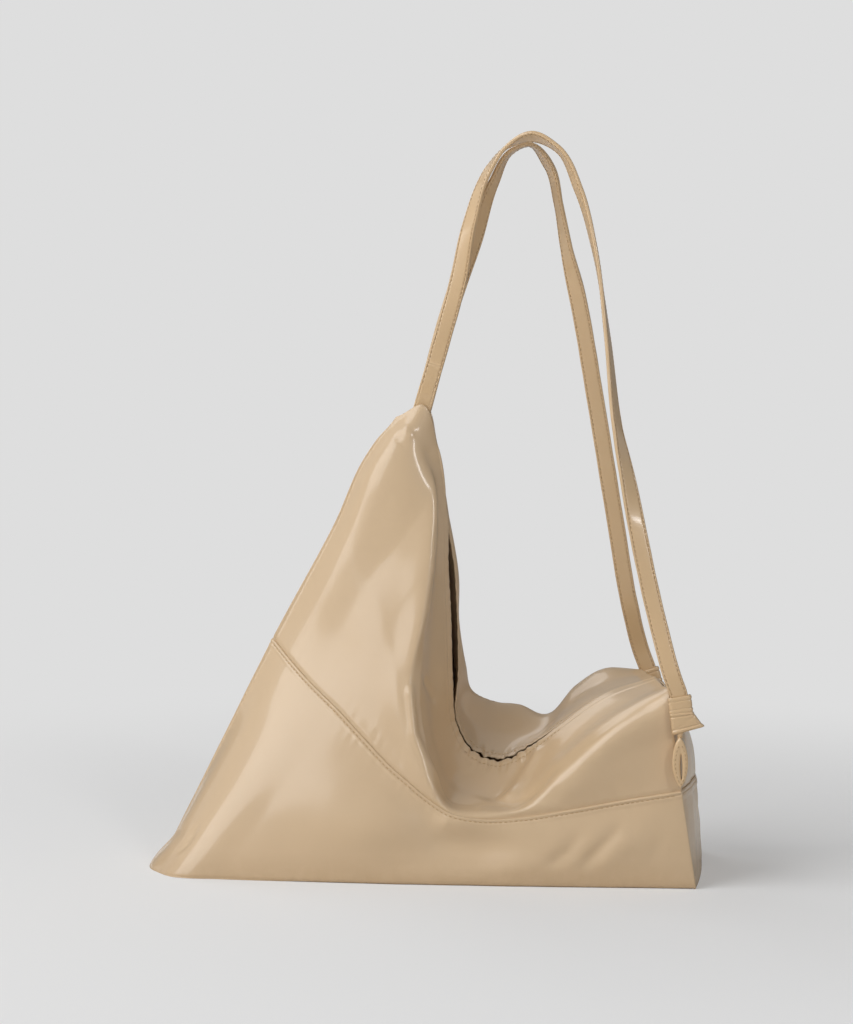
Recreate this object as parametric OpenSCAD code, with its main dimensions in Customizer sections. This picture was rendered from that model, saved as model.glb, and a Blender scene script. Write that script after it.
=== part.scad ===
// Soft trapeze shoulder bag of thin coated leather, standing on its base, with the zip half open.
// X runs along the base from the peak end to the low end, Y to the back and Z up.
// The origin is the middle of the base, on the surface that the bag stands on.

/* [Body] */
// Length of the base
base_length = 465; // [445:1:485]
// Depth of the base from front to back
base_depth = 170; // [160:1:182]
// Height of the peak
peak_height = 397; // [380:1:415]
// Height of the low end
end_height = 163; // [156:1:170]
// Height of the lips at the bottom of the valley
valley_height = 92; // [88:1:97]
// Height of the front fold at the bottom of the valley
front_fold_height = 64; // [62:1:67]
// Height of the back fold at the bottom of the valley
back_fold_height = 131; // [126:1:136]

/* [Waist seam] */
// Height of the waist seam on the slanting side seam
seam_side_height = 194; // [184:1:204]
// Height of the waist seam at its lowest point
seam_low_height = 55; // [52:1:57]
// Height of the waist seam on the end gusset
seam_end_height = 81; // [76:1:86]

/* [Slack] */
// How far the lower panels belly out
belly = 6; // [2:0.5:9]
// How far the tall part rounds out
chest = 6; // [2:0.5:9]
// How far the leather sags between the fold and the lip
sag = 5; // [2:0.5:7]
// How far the end gusset rounds out
end_belly = 9; // [5:0.5:12]

/* [Materials] */
// Thickness of the leather with its backing
leather = 1.6; // [1.2:0.1:2]
// Thickness of the lining cloth
lining = 0.6; // [0.4:0.1:0.8]
// Thickness of the stiffening board in the base
board = 1.5; // [1:0.5:2.5]
// Gap between sewn pieces
seam_gap = 0.3; // [0.25:0.05:0.4]
// How far the raised hem along the waist seam stands proud
hem_rise = 0.7; // [0.4:0.1:1]
// Width of the raised hem along the waist seam
hem_width = 6; // [4:0.5:7]

/* [Zip] */
// Width of the open mouth between the lips
mouth = 10; // [9:0.5:12]
// Depth of the zip below the lips
zip_depth = 10; // [9.5:0.5:11]
// Thickness of the zip tape
tape = 0.5; // [0.4:0.1:0.7]
// Height and width of a zip tooth
tooth = 1.4; // [1.2:0.1:1.6]
// Number of teeth on each side of the zip
teeth = 84; // [60:1:96]
// Length of the zip slider
slider_length = 11; // [10:0.5:12]
// Length of the zip pull
pull_length = 20; // [18:1:22]

/* [Straps] */
// Width of each shoulder strap
strap_width = 15; // [14:0.5:16]
// Thickness of each shoulder strap
strap_thickness = 3.2; // [2.6:0.2:3.6]
// Height of the top of the straps
strap_height = 625; // [600:1:650]
// Wall of the keeper bands
band_wall = 1.8; // [1.4:0.1:2.4]
// Height of the keeper band
band_height = 12.5; // [11:0.5:14]
// Height of the flared wrap below the keeper band
wrap_height = 17; // [15:0.5:19]
// Length of the loop tab in the corner seam
tab_length = 42; // [38:1:44]
// Width of the loop tab
tab_width = 13.5; // [12:0.5:14.5]

/* [Hidden] */

FRONT = -1;
BACK = 1;
half_length = base_length / 2;
half_depth = base_depth / 2;
tan_leather = "#c9ab86";
shade_leather = "#b89a76";
lining_cloth = "#8c7760";
zip_cloth = "#6f5b49";
zip_metal = "#b9a27c";
// Steps between two stations, along the bag and up the bag
along_steps = 2;
up_steps = 3;

// Stations from the side seam to the end gusset, as percent of the half length, the half depth
// and the heights. A height of 0 is the lowest point of its line in the valley. A height of 100
// is the top of its line, at the peak up to the valley and at the low end after it.
valley_station = 9;
bottom_line = [
    [-100, 0], [-98.5, 62], [-90, 95], [-71, 102], [-54, 105], [-39, 107], [-26, 108],
    [-11, 109], [4, 109], [22, 108], [39, 107], [58, 105], [78, 102], [100, 100]
];
seam_line = [
    [-57.8, 0, 100], [-48.9, 26, 87], [-41, 42.5, 75.6], [-30.5, 59, 61.3], [-20.4, 72, 45.5],
    [-10.4, 82.5, 29.8], [-2.9, 89.5, 20], [4.2, 94, 10.7], [11.6, 97.6, 3.5], [23.7, 99, 0],
    [37.8, 99, 7], [53.8, 97.6, 31], [74, 95.5, 66], [94.5, 93, 100]
];
front_fold = [
    [-20.6, 0, 86.5], [-9.5, 16.5, 91.3], [2.6, 18.8, 81.4], [4.6, 29.4, 66.7], [3, 43.5, 51],
    [0, 55.3, 35.4], [0.4, 67, 21.6], [5, 76.5, 10.2], [11.8, 74, 0.6], [23.7, 71.8, 0],
    [36.1, 71.8, 3], [50.8, 78.8, 33], [68.8, 87, 69.7], [89.7, 91.8, 100]
];
back_fold = [
    [-20.6, 0, 83], [-9.5, 16.5, 89], [3.4, 18.8, 77.8], [6.9, 26, 62.8], [9.7, 36.5, 45.5],
    [9.9, 49.4, 27.8], [12, 62.4, 13.2], [14.2, 73, 4.5], [22.4, 78.8, 0.8], [31.8, 78.8, 0],
    [41.7, 77.6, -19], [52.5, 82.4, 59], [64.5, 88.2, 106], [77.4, 91.8, 91]
];
lip_line = [
    [-11.2, 98], [-1.7, 100], [3.9, 88.5], [6.9, 72.1], [8.6, 56.7], [9.9, 39.3], [10.3, 23.3],
    [10.8, 10.5], [16.3, 3], [26.7, 0], [37.8, 18], [49, 46.5], [64.5, 80], [83.9, 103]
];
stations = len(lip_line) - 1;

// The way a smooth curve runs at b, between a and c, per millimetre
function slope(a, b, c) =
    let (d = norm(b - a), e = norm(c - b))
    d + e == 0 ? 0 * b
    : d == 0 ? (c - b) / e
    : e == 0 ? (b - a) / d
    : ((b - a) * e / d + (c - b) * d / e) / (d + e);
// A smooth curve through four points, between the second and the third
function smooth(a, b, c, d, t) =
    let (length = norm(c - b), m = length * slope(a, b, c), n = length * slope(b, c, d))
    b * (2 * t * t * t - 3 * t * t + 1) + c * (3 * t * t - 2 * t * t * t)
    + m * (t * t * t - 2 * t * t + t) + n * (t * t * t - t * t);
// The point at place u of a smooth curve through a list of points
function curve(points, u) =
    let (last = len(points) - 1)
    let (i = max(0, min(floor(u), last - 1)))
    smooth(points[max(i - 1, 0)], points[i], points[i + 1], points[min(i + 2, last)], u - i);
// Rises smoothly from 0 at a to 1 at b
function ramp(a, b, u) =
    let (t = max(0, min(1, (u - a) / (b - a))))
    t * t * (3 - 2 * t);
function unit(v) = v / norm(v);
function height(low, top, end, percent, i) = low + ((i < valley_station ? top : end) - low) * percent / 100;

// The five sewn or folded lines of one side, in millimetres
function bottom_at(i) = [bottom_line[i].x * half_length / 100, bottom_line[i].y * half_depth / 100, 0];
function seam_at(i) =
    let (p = seam_line[i])
    [p.x * half_length / 100, p.y * half_depth / 100,
     height(seam_low_height, seam_side_height, seam_end_height, p.z, i)];
function fold_at(side, i) =
    let (p = side == FRONT ? front_fold[i] : back_fold[i])
    let (low = side == FRONT ? front_fold_height : back_fold_height)
    [p.x * half_length / 100, p.y * half_depth / 100, height(low, peak_height, end_height, p.z, i)];
function lip_at(i) =
    [lip_line[i].x * half_length / 100, 0, height(valley_height, peak_height, end_height, lip_line[i].y, i)];
lips = [for (i = [0:stations]) lip_at(i)];

// Along the lips: how far the mouth and the strap slot hold them apart, and the way into the bag
mouth_start = 3;
mouth_narrows = 10.9;
mouth_end = 12;
function opens(u) = ramp(mouth_start, mouth_start + 1.2, u);
function mouth_at(u) = mouth / 2 * opens(u) * (1 - ramp(mouth_narrows, mouth_end, u));
// The two strap roots and the patch between them hold the lips apart at the peak
slot_station = 1;
patch = 1.4;
root_out = patch / 2 + seam_gap + strap_thickness / 2;
slot_room = 1.15;
slot_half = slot_room * (root_out + strap_thickness / 2);
function slot_at(u) = slot_half * (1 - ramp(0.5, 1, abs(u - slot_station)));
function lip_gap(u) = leather + seam_gap / 2 + max(mouth_at(u), slot_at(u));
function lip_run(u) = unit(curve(lips, u + 0.05) - curve(lips, u - 0.05));
function inward(u) =
    let (t = lip_run(max(0.06, min(stations - 0.06, u))))
    [t.z, 0, -t.x];

// The slack of the leather between the lines
function swell(u) = pow(max(0, sin(180 * u / stations)), 0.6);
function lines(side) =
    let (flip = [1, side, 1])
    [for (row = [0:6]) [for (i = [0:stations])
        let (b = bottom_at(i), s = seam_at(i), r = fold_at(side, i), t = lips[i] + [0, lip_gap(i), 0])
        let (p = row == 0 ? b
            : row == 1 ? (b + s) / 2 + [0, belly * swell(i), 0]
            : row == 2 ? s
            : row == 3 ? (s + r) / 2 + [0, chest * swell(i), 0]
            : row == 4 ? r
            : row == 5 ? (r + t) / 2 + inward(i) * sag * swell(i)
            : t)
        [p.x, p.y * flip.y, p.z]]];
front_lines = lines(FRONT);
back_lines = lines(BACK);

// Rows up the bag: 0 is the bottom edge, 2 the waist seam, 4 the fold and 6 the lip
seam_row = 2;
fold_row = 4;
lip_row = 6;
function raw_skin(side, u, v) = curve([for (row = side == FRONT ? front_lines : back_lines) curve(row, u)], v);
function keep_side(side, p, least) = [p.x, side * max(least, side * p.y), max(0, p.z)];
function skin_normal(side, u, v) =
    let (e = 0.02)
    let (du = raw_skin(side, min(stations, u + e), v) - raw_skin(side, max(0, u - e), v))
    let (dv = raw_skin(side, u, min(lip_row, v + e)) - raw_skin(side, u, max(0, v - e)))
    unit(cross(du, dv)) * -side;
// The point a given depth under the outside of the leather, kept on its own side of the bag
function skin(side, u, v, depth) =
    keep_side(side, raw_skin(side, u, v) - skin_normal(side, u, v) * depth,
        seam_gap / 2 + max(0, leather - depth));
// Rows are measured in millimetres near the waist seam
function row_step(side, u, v, length) =
    let (e = 0.05)
    length * e / norm(raw_skin(side, u, v + e) - raw_skin(side, u, v));

// A closed solid between an outer and an inner grid of points, each a list of rows
function grid_faces(rows, cols, first, turned, low, notch) =
    [for (r = [0:rows - 2], c = [(r < low ? 0 : notch):cols - 2])
        let (a = first + r * cols + c, b = a + 1, d = a + cols, e = d + 1)
        each turned ? [[a, b, e], [a, e, d]] : [[a, e, b], [a, d, e]]];
function rim_faces(loop, jump, turned) =
    [for (k = [0:len(loop) - 1])
        let (a = loop[k], b = loop[(k + 1) % len(loop)], c = a + jump, d = b + jump)
        each turned ? [[a, d, b], [a, c, d]] : [[a, b, d], [a, d, c]]];
// The first columns can be left out above a given row
module shell(outer, inner, turned, notch_row = 0, notch = 0) {
    rows = len(outer);
    cols = len(outer[0]);
    low = notch > 0 ? notch_row : rows - 1;
    loop = [
        for (c = [0:cols - 1]) c,
        for (r = [1:rows - 1]) r * cols + cols - 1,
        for (c = [cols - 2:-1:notch]) (rows - 1) * cols + c,
        if (notch > 0) for (r = [rows - 2:-1:low]) r * cols + notch,
        if (notch > 0) for (c = [notch - 1:-1:0]) low * cols + c,
        for (r = [low - 1:-1:1]) r * cols
    ];
    polyhedron(
        points = [for (row = outer) each row, for (row = inner) each row],
        faces = [
            each grid_faces(rows, cols, 0, !turned, low, notch),
            each grid_faces(rows, cols, rows * cols, turned, low, notch),
            each rim_faces(loop, rows * cols, !turned)
        ]
    );
}
// A closed solid through a list of rings that all have the same number of points
module sweep(rings) {
    n = len(rings[0]);
    last = (len(rings) - 1) * n;
    polyhedron(
        points = [for (ring = rings) each ring],
        faces = [
            for (r = [0:len(rings) - 2], k = [0:n - 1])
                let (a = r * n + k, b = r * n + (k + 1) % n)
                each [[a, b, b + n], [a, b + n, a + n]],
            for (k = [1:n - 2]) [0, k + 1, k],
            for (k = [1:n - 2]) [last, last + k, last + k + 1]
        ]
    );
}

// Evenly spaced places along a side
function places(u0, u1, steps) =
    let (n = max(1, round((u1 - u0) * steps)))
    [for (k = [0:n]) u0 + (u1 - u0) * k / n];
// All sheets of a side share one grid, so that they lie on each other
along = concat(places(0, stations - 0.5, along_steps), [stations - 0.12, stations]);
function stretch(from, to) = [for (u = along) if (u >= from && u <= to) u];
function seam_z(u) = curve([for (i = [0:stations]) seam_at(i)], u).z;
function foot_row(u) = 2 * (base_lining_low + lining + 1) / seam_z(u);
function hem_row(side, u, down) = seam_row - row_step(side, u, seam_row - 0.3, down);
function edge_row(side, u) = seam_row - row_step(side, u, seam_row - 0.06, seam_gap);
rows_below = seam_row * up_steps;
below_seam = rows_below + 1;
function grid_row(side, u, r) =
    r == 0 ? 0
    : r == 1 ? foot_row(u)
    : r <= rows_below ? (r - 1) / up_steps
    : r == below_seam ? hem_row(side, u, hem_width + 1)
    : seam_row + (r - below_seam - 1) / up_steps;
function row_at(v) = below_seam + 1 + (v - seam_row) * up_steps;
top_grid_row = row_at(lip_row);
function sheet_points(side, us, from, to, depth) =
    [for (r = [from:to]) [for (u = us) skin(side, u, grid_row(side, u, r), depth)]];

// Outer panels: the lower one carries the raised hem along the waist seam
module lower_panel(side) {
    hem = [[for (u = along) hem_row(side, u, hem_width)], [for (u = along) edge_row(side, u)]];
    raised = [for (depth = [-hem_rise, leather])
        [for (row = hem) [for (k = [0:len(along) - 1]) skin(side, along[k], row[k], depth)]]];
    shell(concat(sheet_points(side, along, 0, below_seam, 0), raised[0]),
        concat(sheet_points(side, along, 0, below_seam, leather), raised[1]), side == FRONT);
}
module upper_panel(side) {
    shell(sheet_points(side, along, below_seam + 1, top_grid_row, 0),
        sheet_points(side, along, below_seam + 1, top_grid_row, leather), side == FRONT);
}
module front_lower_panel() {
    color(tan_leather) lower_panel(FRONT);
}
module front_upper_panel() {
    color(tan_leather) upper_panel(FRONT);
}
module back_lower_panel() {
    color(tan_leather) lower_panel(BACK);
}
module back_upper_panel() {
    color(tan_leather) upper_panel(BACK);
}

// End gusset: it fills the low end between the inner edges of the front and back panels
gusset_columns = 12;
function gusset_edge(side, v) = skin(side, stations, v, leather + seam_gap);
function top_side(w) = w <= 0.5 ? FRONT : BACK;
function top_row(w) = fold_row + (lip_row - fold_row) * 2 * min(w, 1 - w);
function gusset_top(w) = gusset_edge(top_side(w), top_row(w));
// The way along the panels at their end, which the gusset's top edge follows
function top_run(w) =
    let (end = along[len(along) - 1], before = along[len(along) - 2])
    unit(raw_skin(top_side(w), end, top_row(w)) - raw_skin(top_side(w), before, top_row(w)));
function gusset(v, w, depth) =
    let (a = gusset_edge(FRONT, v), b = gusset_edge(BACK, v), up = pow(v / fold_row, 2))
    let (top_fit = gusset_top(w) - gusset_edge(FRONT, fold_row) * (1 - w) - gusset_edge(BACK, fold_row) * w)
    let (round_out = 4 * w * (1 - w) * end_belly * (0.35 + 0.65 * sin(180 * min(1, v / fold_row))))
    a * (1 - w) + b * w + top_fit * up + [round_out, 0, 0] - depth * unit([1 - up, 0, 0] + up * top_run(w));
module gusset_sheet(v0, v1, w0, from, to) {
    ws = [for (k = [0:gusset_columns]) w0 + (1 - 2 * w0) * k / gusset_columns];
    vs = places(v0, v1, up_steps);
    shell([for (v = vs) [for (w = ws) gusset(v, w, from)]], [for (v = vs) [for (w = ws) gusset(v, w, to)]], true);
}
half_split = seam_gap / seam_end_height;
module gusset_lower() {
    color(tan_leather) gusset_sheet(0, seam_row - half_split, 0, 0, leather);
}
module gusset_upper() {
    color(tan_leather) gusset_sheet(seam_row + half_split, fold_row, 0, 0, leather);
}

// Base: leather bottom, stiffening board and the lining over it, one inside the other. Each
// outline keeps clear of the leather, which leans inwards as it rises.
edge_room = leather * 0.3 + seam_gap;
function base_side(side, top) =
    [for (u = places(side == FRONT ? 0 : 0.5, stations, along_steps))
        let (p = raw_skin(side, u, 0), q = raw_skin(side, u, min(1, 3.5 * top / seam_z(u))))
        let (t = unit(raw_skin(side, min(stations, u + 0.1), 0) - raw_skin(side, max(0, u - 0.1), 0)))
        let (n = side * [t.y, -t.x, 0], lean = max(0, (q - p) * n), inset = leather + edge_room)
        let (at_end = ramp(stations - 1, stations, u) * (inset + max(0, p.x - q.x)))
        let (place = p + n * (inset + lean) - [at_end, 0, 0])
        [place.x, place.y]];
module base_sheet(low, thick) {
    near = base_side(FRONT, low + thick);
    far = base_side(BACK, low + thick);
    end = [for (w = [0.08:0.14:0.92])
        let (p = gusset(0, w, leather + edge_room), q = gusset(seam_row * (low + thick) / seam_end_height, w,
            leather + edge_room))
        [min(p.x, q.x), p.y]];
    translate([0, 0, low]) linear_extrude(thick)
        polygon(concat(near, end, [for (k = [len(far) - 1:-1:0]) far[k]]));
}
module base_panel() {
    color(shade_leather) base_sheet(0, leather);
}
board_low = leather + seam_gap;
module base_board() {
    color("#a58f70") base_sheet(board_low, board);
}
base_lining_low = board_low + board + seam_gap;
module base_lining() {
    color(lining_cloth) base_sheet(base_lining_low, lining);
}

// Lining: a layer under the leather, from the base up to the zip tape. Near the side seam it
// stays below the peak, where the two sides meet.
lining_depth = leather + seam_gap;
lining_us = stretch(0.5, stations - 0.12);
peak_us = stretch(0.5, mouth_start - 0.5);
lining_head = row_at(lip_row) - 2;
peak_head = row_at(fold_row) - 1;
module side_lining(side) {
    shell(sheet_points(side, lining_us, 1, lining_head, lining_depth),
        sheet_points(side, lining_us, 1, lining_head, lining_depth + lining),
        side == FRONT, peak_head - 1, len(peak_us));
}
module front_lining() {
    color(lining_cloth) side_lining(FRONT);
}
module back_lining() {
    color(lining_cloth) side_lining(BACK);
}
module gusset_lining() {
    color(lining_cloth) gusset_sheet(0.3, fold_row - 0.3, 0.07, lining_depth, lining_depth + lining);
}

// Slip pocket: an open-topped cloth patch sewn on the back lining
pocket_start = 5;
pocket_end = 10.5;
module inner_pocket() {
    depth = lining_depth + lining + seam_gap;
    us = stretch(pocket_start, pocket_end);
    color(lining_cloth) shell(sheet_points(BACK, us, 3, row_at(seam_row) + 2, depth),
        sheet_points(BACK, us, 3, row_at(seam_row) + 2, depth + lining), false);
}

// Zip: two tapes hang from the lips and carry the teeth, side by side below the mouth
zip_start = 3;
zip_end = 11.5;
row_gap = 0.9;
stop_room = 0.09;
stop_inset = 0.04;
tape_row = lip_row - 1 / up_steps;
// The two rows spread from the slider on, and run straight where it travels
rows_meet = 11.3;
straight_start = 10.6;
function rows_at(u) = mouth / 2 * opens(u) * (1 - ramp(rows_meet - 1.2, rows_meet, u));
function below_lips(u) = curve(lips, u) + inward(u) * zip_depth;
function zip_line(u) =
    let (t = (u - straight_start) / (zip_end - straight_start))
    t < 0 ? below_lips(u) : below_lips(straight_start) * (1 - t) + below_lips(zip_end) * t;
function zip_run(u) = unit(zip_line(u + 0.03) - zip_line(u - 0.03));
function chain(side, u, out) = zip_line(u) + [0, side * (rows_at(u) + row_gap / 2 + out), 0];
module zip_tape(side) {
    us = stretch(zip_start, zip_end);
    upper = [[for (u = us) skin(side, u, tape_row, leather + seam_gap)],
        [for (u = us) chain(side, u, tooth + 2 * seam_gap)]];
    lower = [for (row = upper) [for (k = [0:len(us) - 1]) row[k] + inward(us[k]) * tape]];
    color(zip_cloth) shell(upper, lower, side == FRONT);
}
module zip_teeth(side) {
    color(zip_metal) for (k = [0:teeth - 1]) {
        u = zip_start + stop_room + (zip_end - zip_start - 2 * stop_room) * (k + 0.5) / teeth;
        t = zip_run(u);
        translate(chain(side, u, tooth / 2)) rotate([0, -atan2(t.z, t.x), 0])
            cube([tooth * 0.8, tooth, tooth], center = true);
    }
}
module front_zip_tape() {
    zip_tape(FRONT);
}
module back_zip_tape() {
    zip_tape(BACK);
}
module front_zip_teeth() {
    zip_teeth(FRONT);
}
module back_zip_teeth() {
    zip_teeth(BACK);
}

// Places something in line with the zip, with its own X along the zip and its Z up to the lips
slider_station = 11.28;
module on_zip(u) {
    t = zip_run(u);
    translate(zip_line(u)) rotate([0, -atan2(t.z, t.x), 0]) children();
}
module zip_stops() {
    color(zip_metal) for (u = [zip_start + stop_inset, zip_end - stop_inset])
        on_zip(u) cube([2, 2 * (tooth + seam_gap) + row_gap, tooth * 1.6], center = true);
}
slider_width = 7;
slider_plate = 1;
slider_room = tooth / 2 + seam_gap;
pull_width = 5;
pull_axis_up = slider_room + slider_plate + 0.6;
pull_rise = 8;
module zip_slider() {
    color(zip_metal) on_zip(slider_station) {
        difference() {
            union() {
                for (z = [slider_room, -slider_room - slider_plate]) translate([0, 0, z])
                    linear_extrude(slider_plate) intersection() {
                        square([slider_length, slider_width], center = true);
                        circle(r = slider_length * 0.53, $fn = 48);
                    }
                // The wedge between the rows and the bridge that holds the pull
                cube([3, row_gap - 2 * seam_gap, 2 * slider_room + slider_plate], center = true);
                translate([0, 0, pull_axis_up]) rotate([90, 0, 0])
                    cylinder(r = 1.5, h = 2.2, center = true, $fn = 32);
            }
            translate([0, 0, pull_axis_up]) rotate([90, 0, 0])
                cylinder(r = 0.75, h = 5, center = true, $fn = 32);
        }
    }
}
module zip_pull() {
    ear = 1;
    color(zip_metal) on_zip(slider_station) translate([0, 0, pull_axis_up]) rotate([0, pull_rise, 0]) {
        rotate([90, 0, 0]) cylinder(r = 0.5, h = pull_width, center = true, $fn = 24);
        for (y = [-pull_width / 2, pull_width / 2 - ear]) translate([-6, y, -0.5]) cube([6.5, ear, 1]);
        translate([-pull_length, -pull_width / 2, -0.5]) cube([pull_length - 5.5, pull_width, 1]);
    }
}

// Each knot stands on its own axis, given by the foot and the lean of the straight strap in it
corner = seam_at(stations);
root_z = peak_height + 9;
knot_above_seam = 50;
knot_low = seam_end_height + knot_above_seam;
function knot_foot(side) = side == FRONT ? [corner.x + 2.3, -corner.y - 7, knot_low]
    : [corner.x - 25.7, corner.y + 10, knot_low];
function knot_lean(side) = side == FRONT ? 7 : 16;
function knot_point(side, up) = knot_foot(side) + up * [-sin(knot_lean(side)), 0, cos(knot_lean(side))];

// Straps. Each row is a point on the centre line and the way that the outer face looks there. The
// point is in percent of the half length, of the half depth, and of the way from the peak up to
// the top of the straps, or down to the knot if it is negative.
front_path = [
    [[5.4, -3.5, 21.2], [0, -1, 0]],
    [[11.4, -4.7, 44.6], [-0.2, -0.95, 0.1]],
    [[15.7, -7.1, 67.2], [-0.55, -0.75, 0.3]],
    [[22.8, -9.4, 87.6], [-0.75, -0.4, 0.5]],
    [[29, -11.2, 95.9], [-0.6, -0.05, 0.8]],
    [[38.7, -14.1, 100], [0, 0.5, 0.87]],
    [[47.7, -18.8, 95.2], [0.65, 0.3, 0.7]],
    [[55.5, -25.9, 79.3], [0.85, 0.4, 0.25]],
    [[61.9, -36.5, 56.3], [0.95, 0.2, 0.2]],
    [[66.7, -50.6, 23.9], [0.97, -0.1, 0.2]],
    [[71, -64.7, -9.5], [0.9, -0.4, 0.2]],
    [[74.8, -72.9, -24.7], [0.6, -0.8, 0.1]],
    [[78.3, -80, -39.6], [0.2, -0.95, 0]],
    [[86.7, -92.9, -69.5], [0, -1, 0]]
];
back_path = [
    [[8, 3.5, 32.9], [0, 1, 0]],
    [[16.8, 4.7, 60.3], [-0.4, 0.85, 0.2]],
    [[24.1, 6.5, 82.8], [-0.75, 0.4, 0.5]],
    [[30.5, 7.1, 94.8], [-0.5, 0.1, 0.85]],
    [[37, 8.2, 97.3], [0.1, 0.05, 1]],
    [[43.9, 12.9, 88.8], [0.75, 0.5, 0.4]],
    [[47.3, 21.2, 74.1], [0.85, 0.45, 0.2]],
    [[50.3, 30.6, 56.3], [0.7, 0.65, 0.1]],
    [[53.8, 38.8, 38.6], [0.2, 0.95, 0]],
    [[60.6, 56.5, -2.4], [0, 1, 0]],
    [[67.5, 75.3, -40.7], [0, 1, 0]],
    [[73.1, 89.4, -68.4], [0, 1, 0]]
];
// Where the strap runs straight through its two bands, above the foot of the knot
in_knot = [44, 34, 22, 8];
function strap_height_at(percent) =
    root_z + (percent < 0 ? root_z - knot_low : strap_height - strap_thickness / 2 - root_z) * percent / 100;
function strap_root_at(side) = [-1, side * root_out, root_z];
function strap_points(side) = concat(
    [strap_root_at(side)],
    [for (row = side == FRONT ? front_path : back_path)
        [row[0].x * half_length / 100, row[0].y * half_depth / 100, strap_height_at(row[0].z)]],
    [for (up = in_knot) knot_point(side, up)]);
function strap_looks(side) = concat(
    [[0, side, 0]],
    [for (row = side == FRONT ? front_path : back_path) row[1]],
    [for (up = in_knot) [0, side, 0]]);
// The fold line about which a strap swings runs from its root to the head of its loop tab
function fold_end(side) = knot_foot(side) + [side == FRONT ? -3 : -1, 0, -1];
// Rings across a strap, from its inner to its outer face, which lie low and high on its thickness
function ring(p, w, n, low, high) = [p - w + n * low, p + w + n * low, p + w + n * high, p - w + n * high];
half_thick = strap_thickness / 2;
function strap_ring(side, u, run_on, high) =
    let (points = strap_points(side), e = 0.05, last = len(points) - 1)
    let (t = unit(curve(points, min(last, u + e)) - curve(points, max(0, u - e))))
    let (w = unit(cross(t, curve(strap_looks(side), u))) * strap_width / 2)
    ring(curve(points, u) + t * run_on, w, unit(cross(w, t)), -half_thick, high);
// The strap's end lies along the fold line, and the sewn root stops just short of it
function root_run(side) = let (points = strap_points(side)) unit(points[1] - points[0]);
function fold_way(side) =
    let (a = unit(fold_end(side) - strap_root_at(side))) unit([a.x, 0, a.z]);
function fold_ring(side, set_back, notch, high) =
    let (run = root_run(side), across = fold_way(side) * strap_width / 2 / norm(cross(run, fold_way(side))))
    let (w = cross(run, [0, side, 0]) * across > 0 ? across : -across)
    ring(strap_root_at(side) - run * (set_back + notch / 2), w - side * run * notch / 2, [0, side, 0],
        -half_thick, high);
module strap(side) {
    last = len(strap_points(side)) - 1;
    sweep([fold_ring(side, 0, 0, half_thick), for (u = places(0.35, last, 2)) strap_ring(side, u, 0, half_thick)]);
    // Its turned-in tail ends in a round point on the fold line
    hull() {
        on_knot(side, in_knot[len(in_knot) - 1]) cube([strap_width * 0.6, strap_thickness, 1], center = true);
        translate(fold_end(side)) sphere(r = half_thick, $fn = 24);
    }
}
// The root is skived to pass between the lips
root_length = 21;
// The root's upper corner is cut back further, because the strap turns past it there
root_notch = 6;
skived = strap_thickness * 0.55;
module strap_root(side) {
    set_back = (half_thick + seam_gap) / norm(cross(root_run(side), fold_way(side)));
    high = skived - half_thick;
    sweep([strap_ring(side, 0, -root_length, high), fold_ring(side, set_back, root_notch, high)]);
}
module front_strap() {
    color(tan_leather) strap(FRONT);
}
module back_strap() {
    color(tan_leather) strap(BACK);
}
module front_strap_root() {
    color(tan_leather) strap_root(FRONT);
}
module back_strap_root() {
    color(tan_leather) strap_root(BACK);
}
// Reinforcing patch between the two strap roots, inside the peak
module strap_anchor() {
    color(shade_leather) translate([-4, 0, root_z - 14]) rotate([0, 16, 0])
        cube([12, patch, 12], center = true);
}

// Keeper band, flared wrap and loop tab at the lower end of each strap
module rounded_block(size, height) {
    corner = size.y / 2 - 0.01;
    linear_extrude(height) union() {
        square([size.x - 2 * corner, size.y], center = true);
        for (x = [-1, 1]) translate([x * (size.x / 2 - corner), 0]) circle(r = size.y / 2, $fn = 32);
    }
}
band_size = [strap_width + 2 * seam_gap + 2 * band_wall, strap_thickness + 2 * seam_gap + 2 * band_wall];
module strap_hole(height) {
    translate([0, 0, height / 2]) cube([strap_width + 2 * seam_gap, strap_thickness + 2 * seam_gap, 2 * height],
        center = true);
}
module keeper_band() {
    difference() {
        rounded_block(band_size, band_height);
        strap_hole(band_height);
    }
}
// The wrap flares to the outer side, down to a pointed tip
module wrap_band() {
    rim = 0.5;
    foot = 8;
    difference() {
        hull() {
            translate([0, 0, wrap_height - rim]) rounded_block(band_size, rim);
            translate([foot / 2 - band_size.x / 2, 0, 0]) rounded_block([foot, band_size.y - 0.6], rim);
            translate([band_size.x / 2 + 6, 0, 5]) rounded_block([4.4, 4], rim);
        }
        strap_hole(wrap_height + 2);
    }
}
module loop_tab() {
    half = tab_width / 2;
    big = (half * half + tab_length * tab_length / 4) / (2 * half);
    slit_half = 1.8;
    slit_length = tab_length * 0.5;
    slit_big = (slit_half * slit_half + slit_length * slit_length / 4) / (2 * slit_half);
    rotate([90, 0, 0]) linear_extrude(tab_depth, center = true) difference() {
        intersection() {
            translate([big - half, 0]) circle(r = big, $fn = 160);
            translate([half - big, 0]) circle(r = big, $fn = 160);
        }
        translate([1, -tab_length * 0.1]) intersection() {
            translate([slit_big - slit_half, 0]) circle(r = slit_big, $fn = 200);
            translate([slit_half - slit_big, 0]) circle(r = slit_big, $fn = 200);
        }
    }
}
tab_depth = strap_width - 2;
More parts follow.
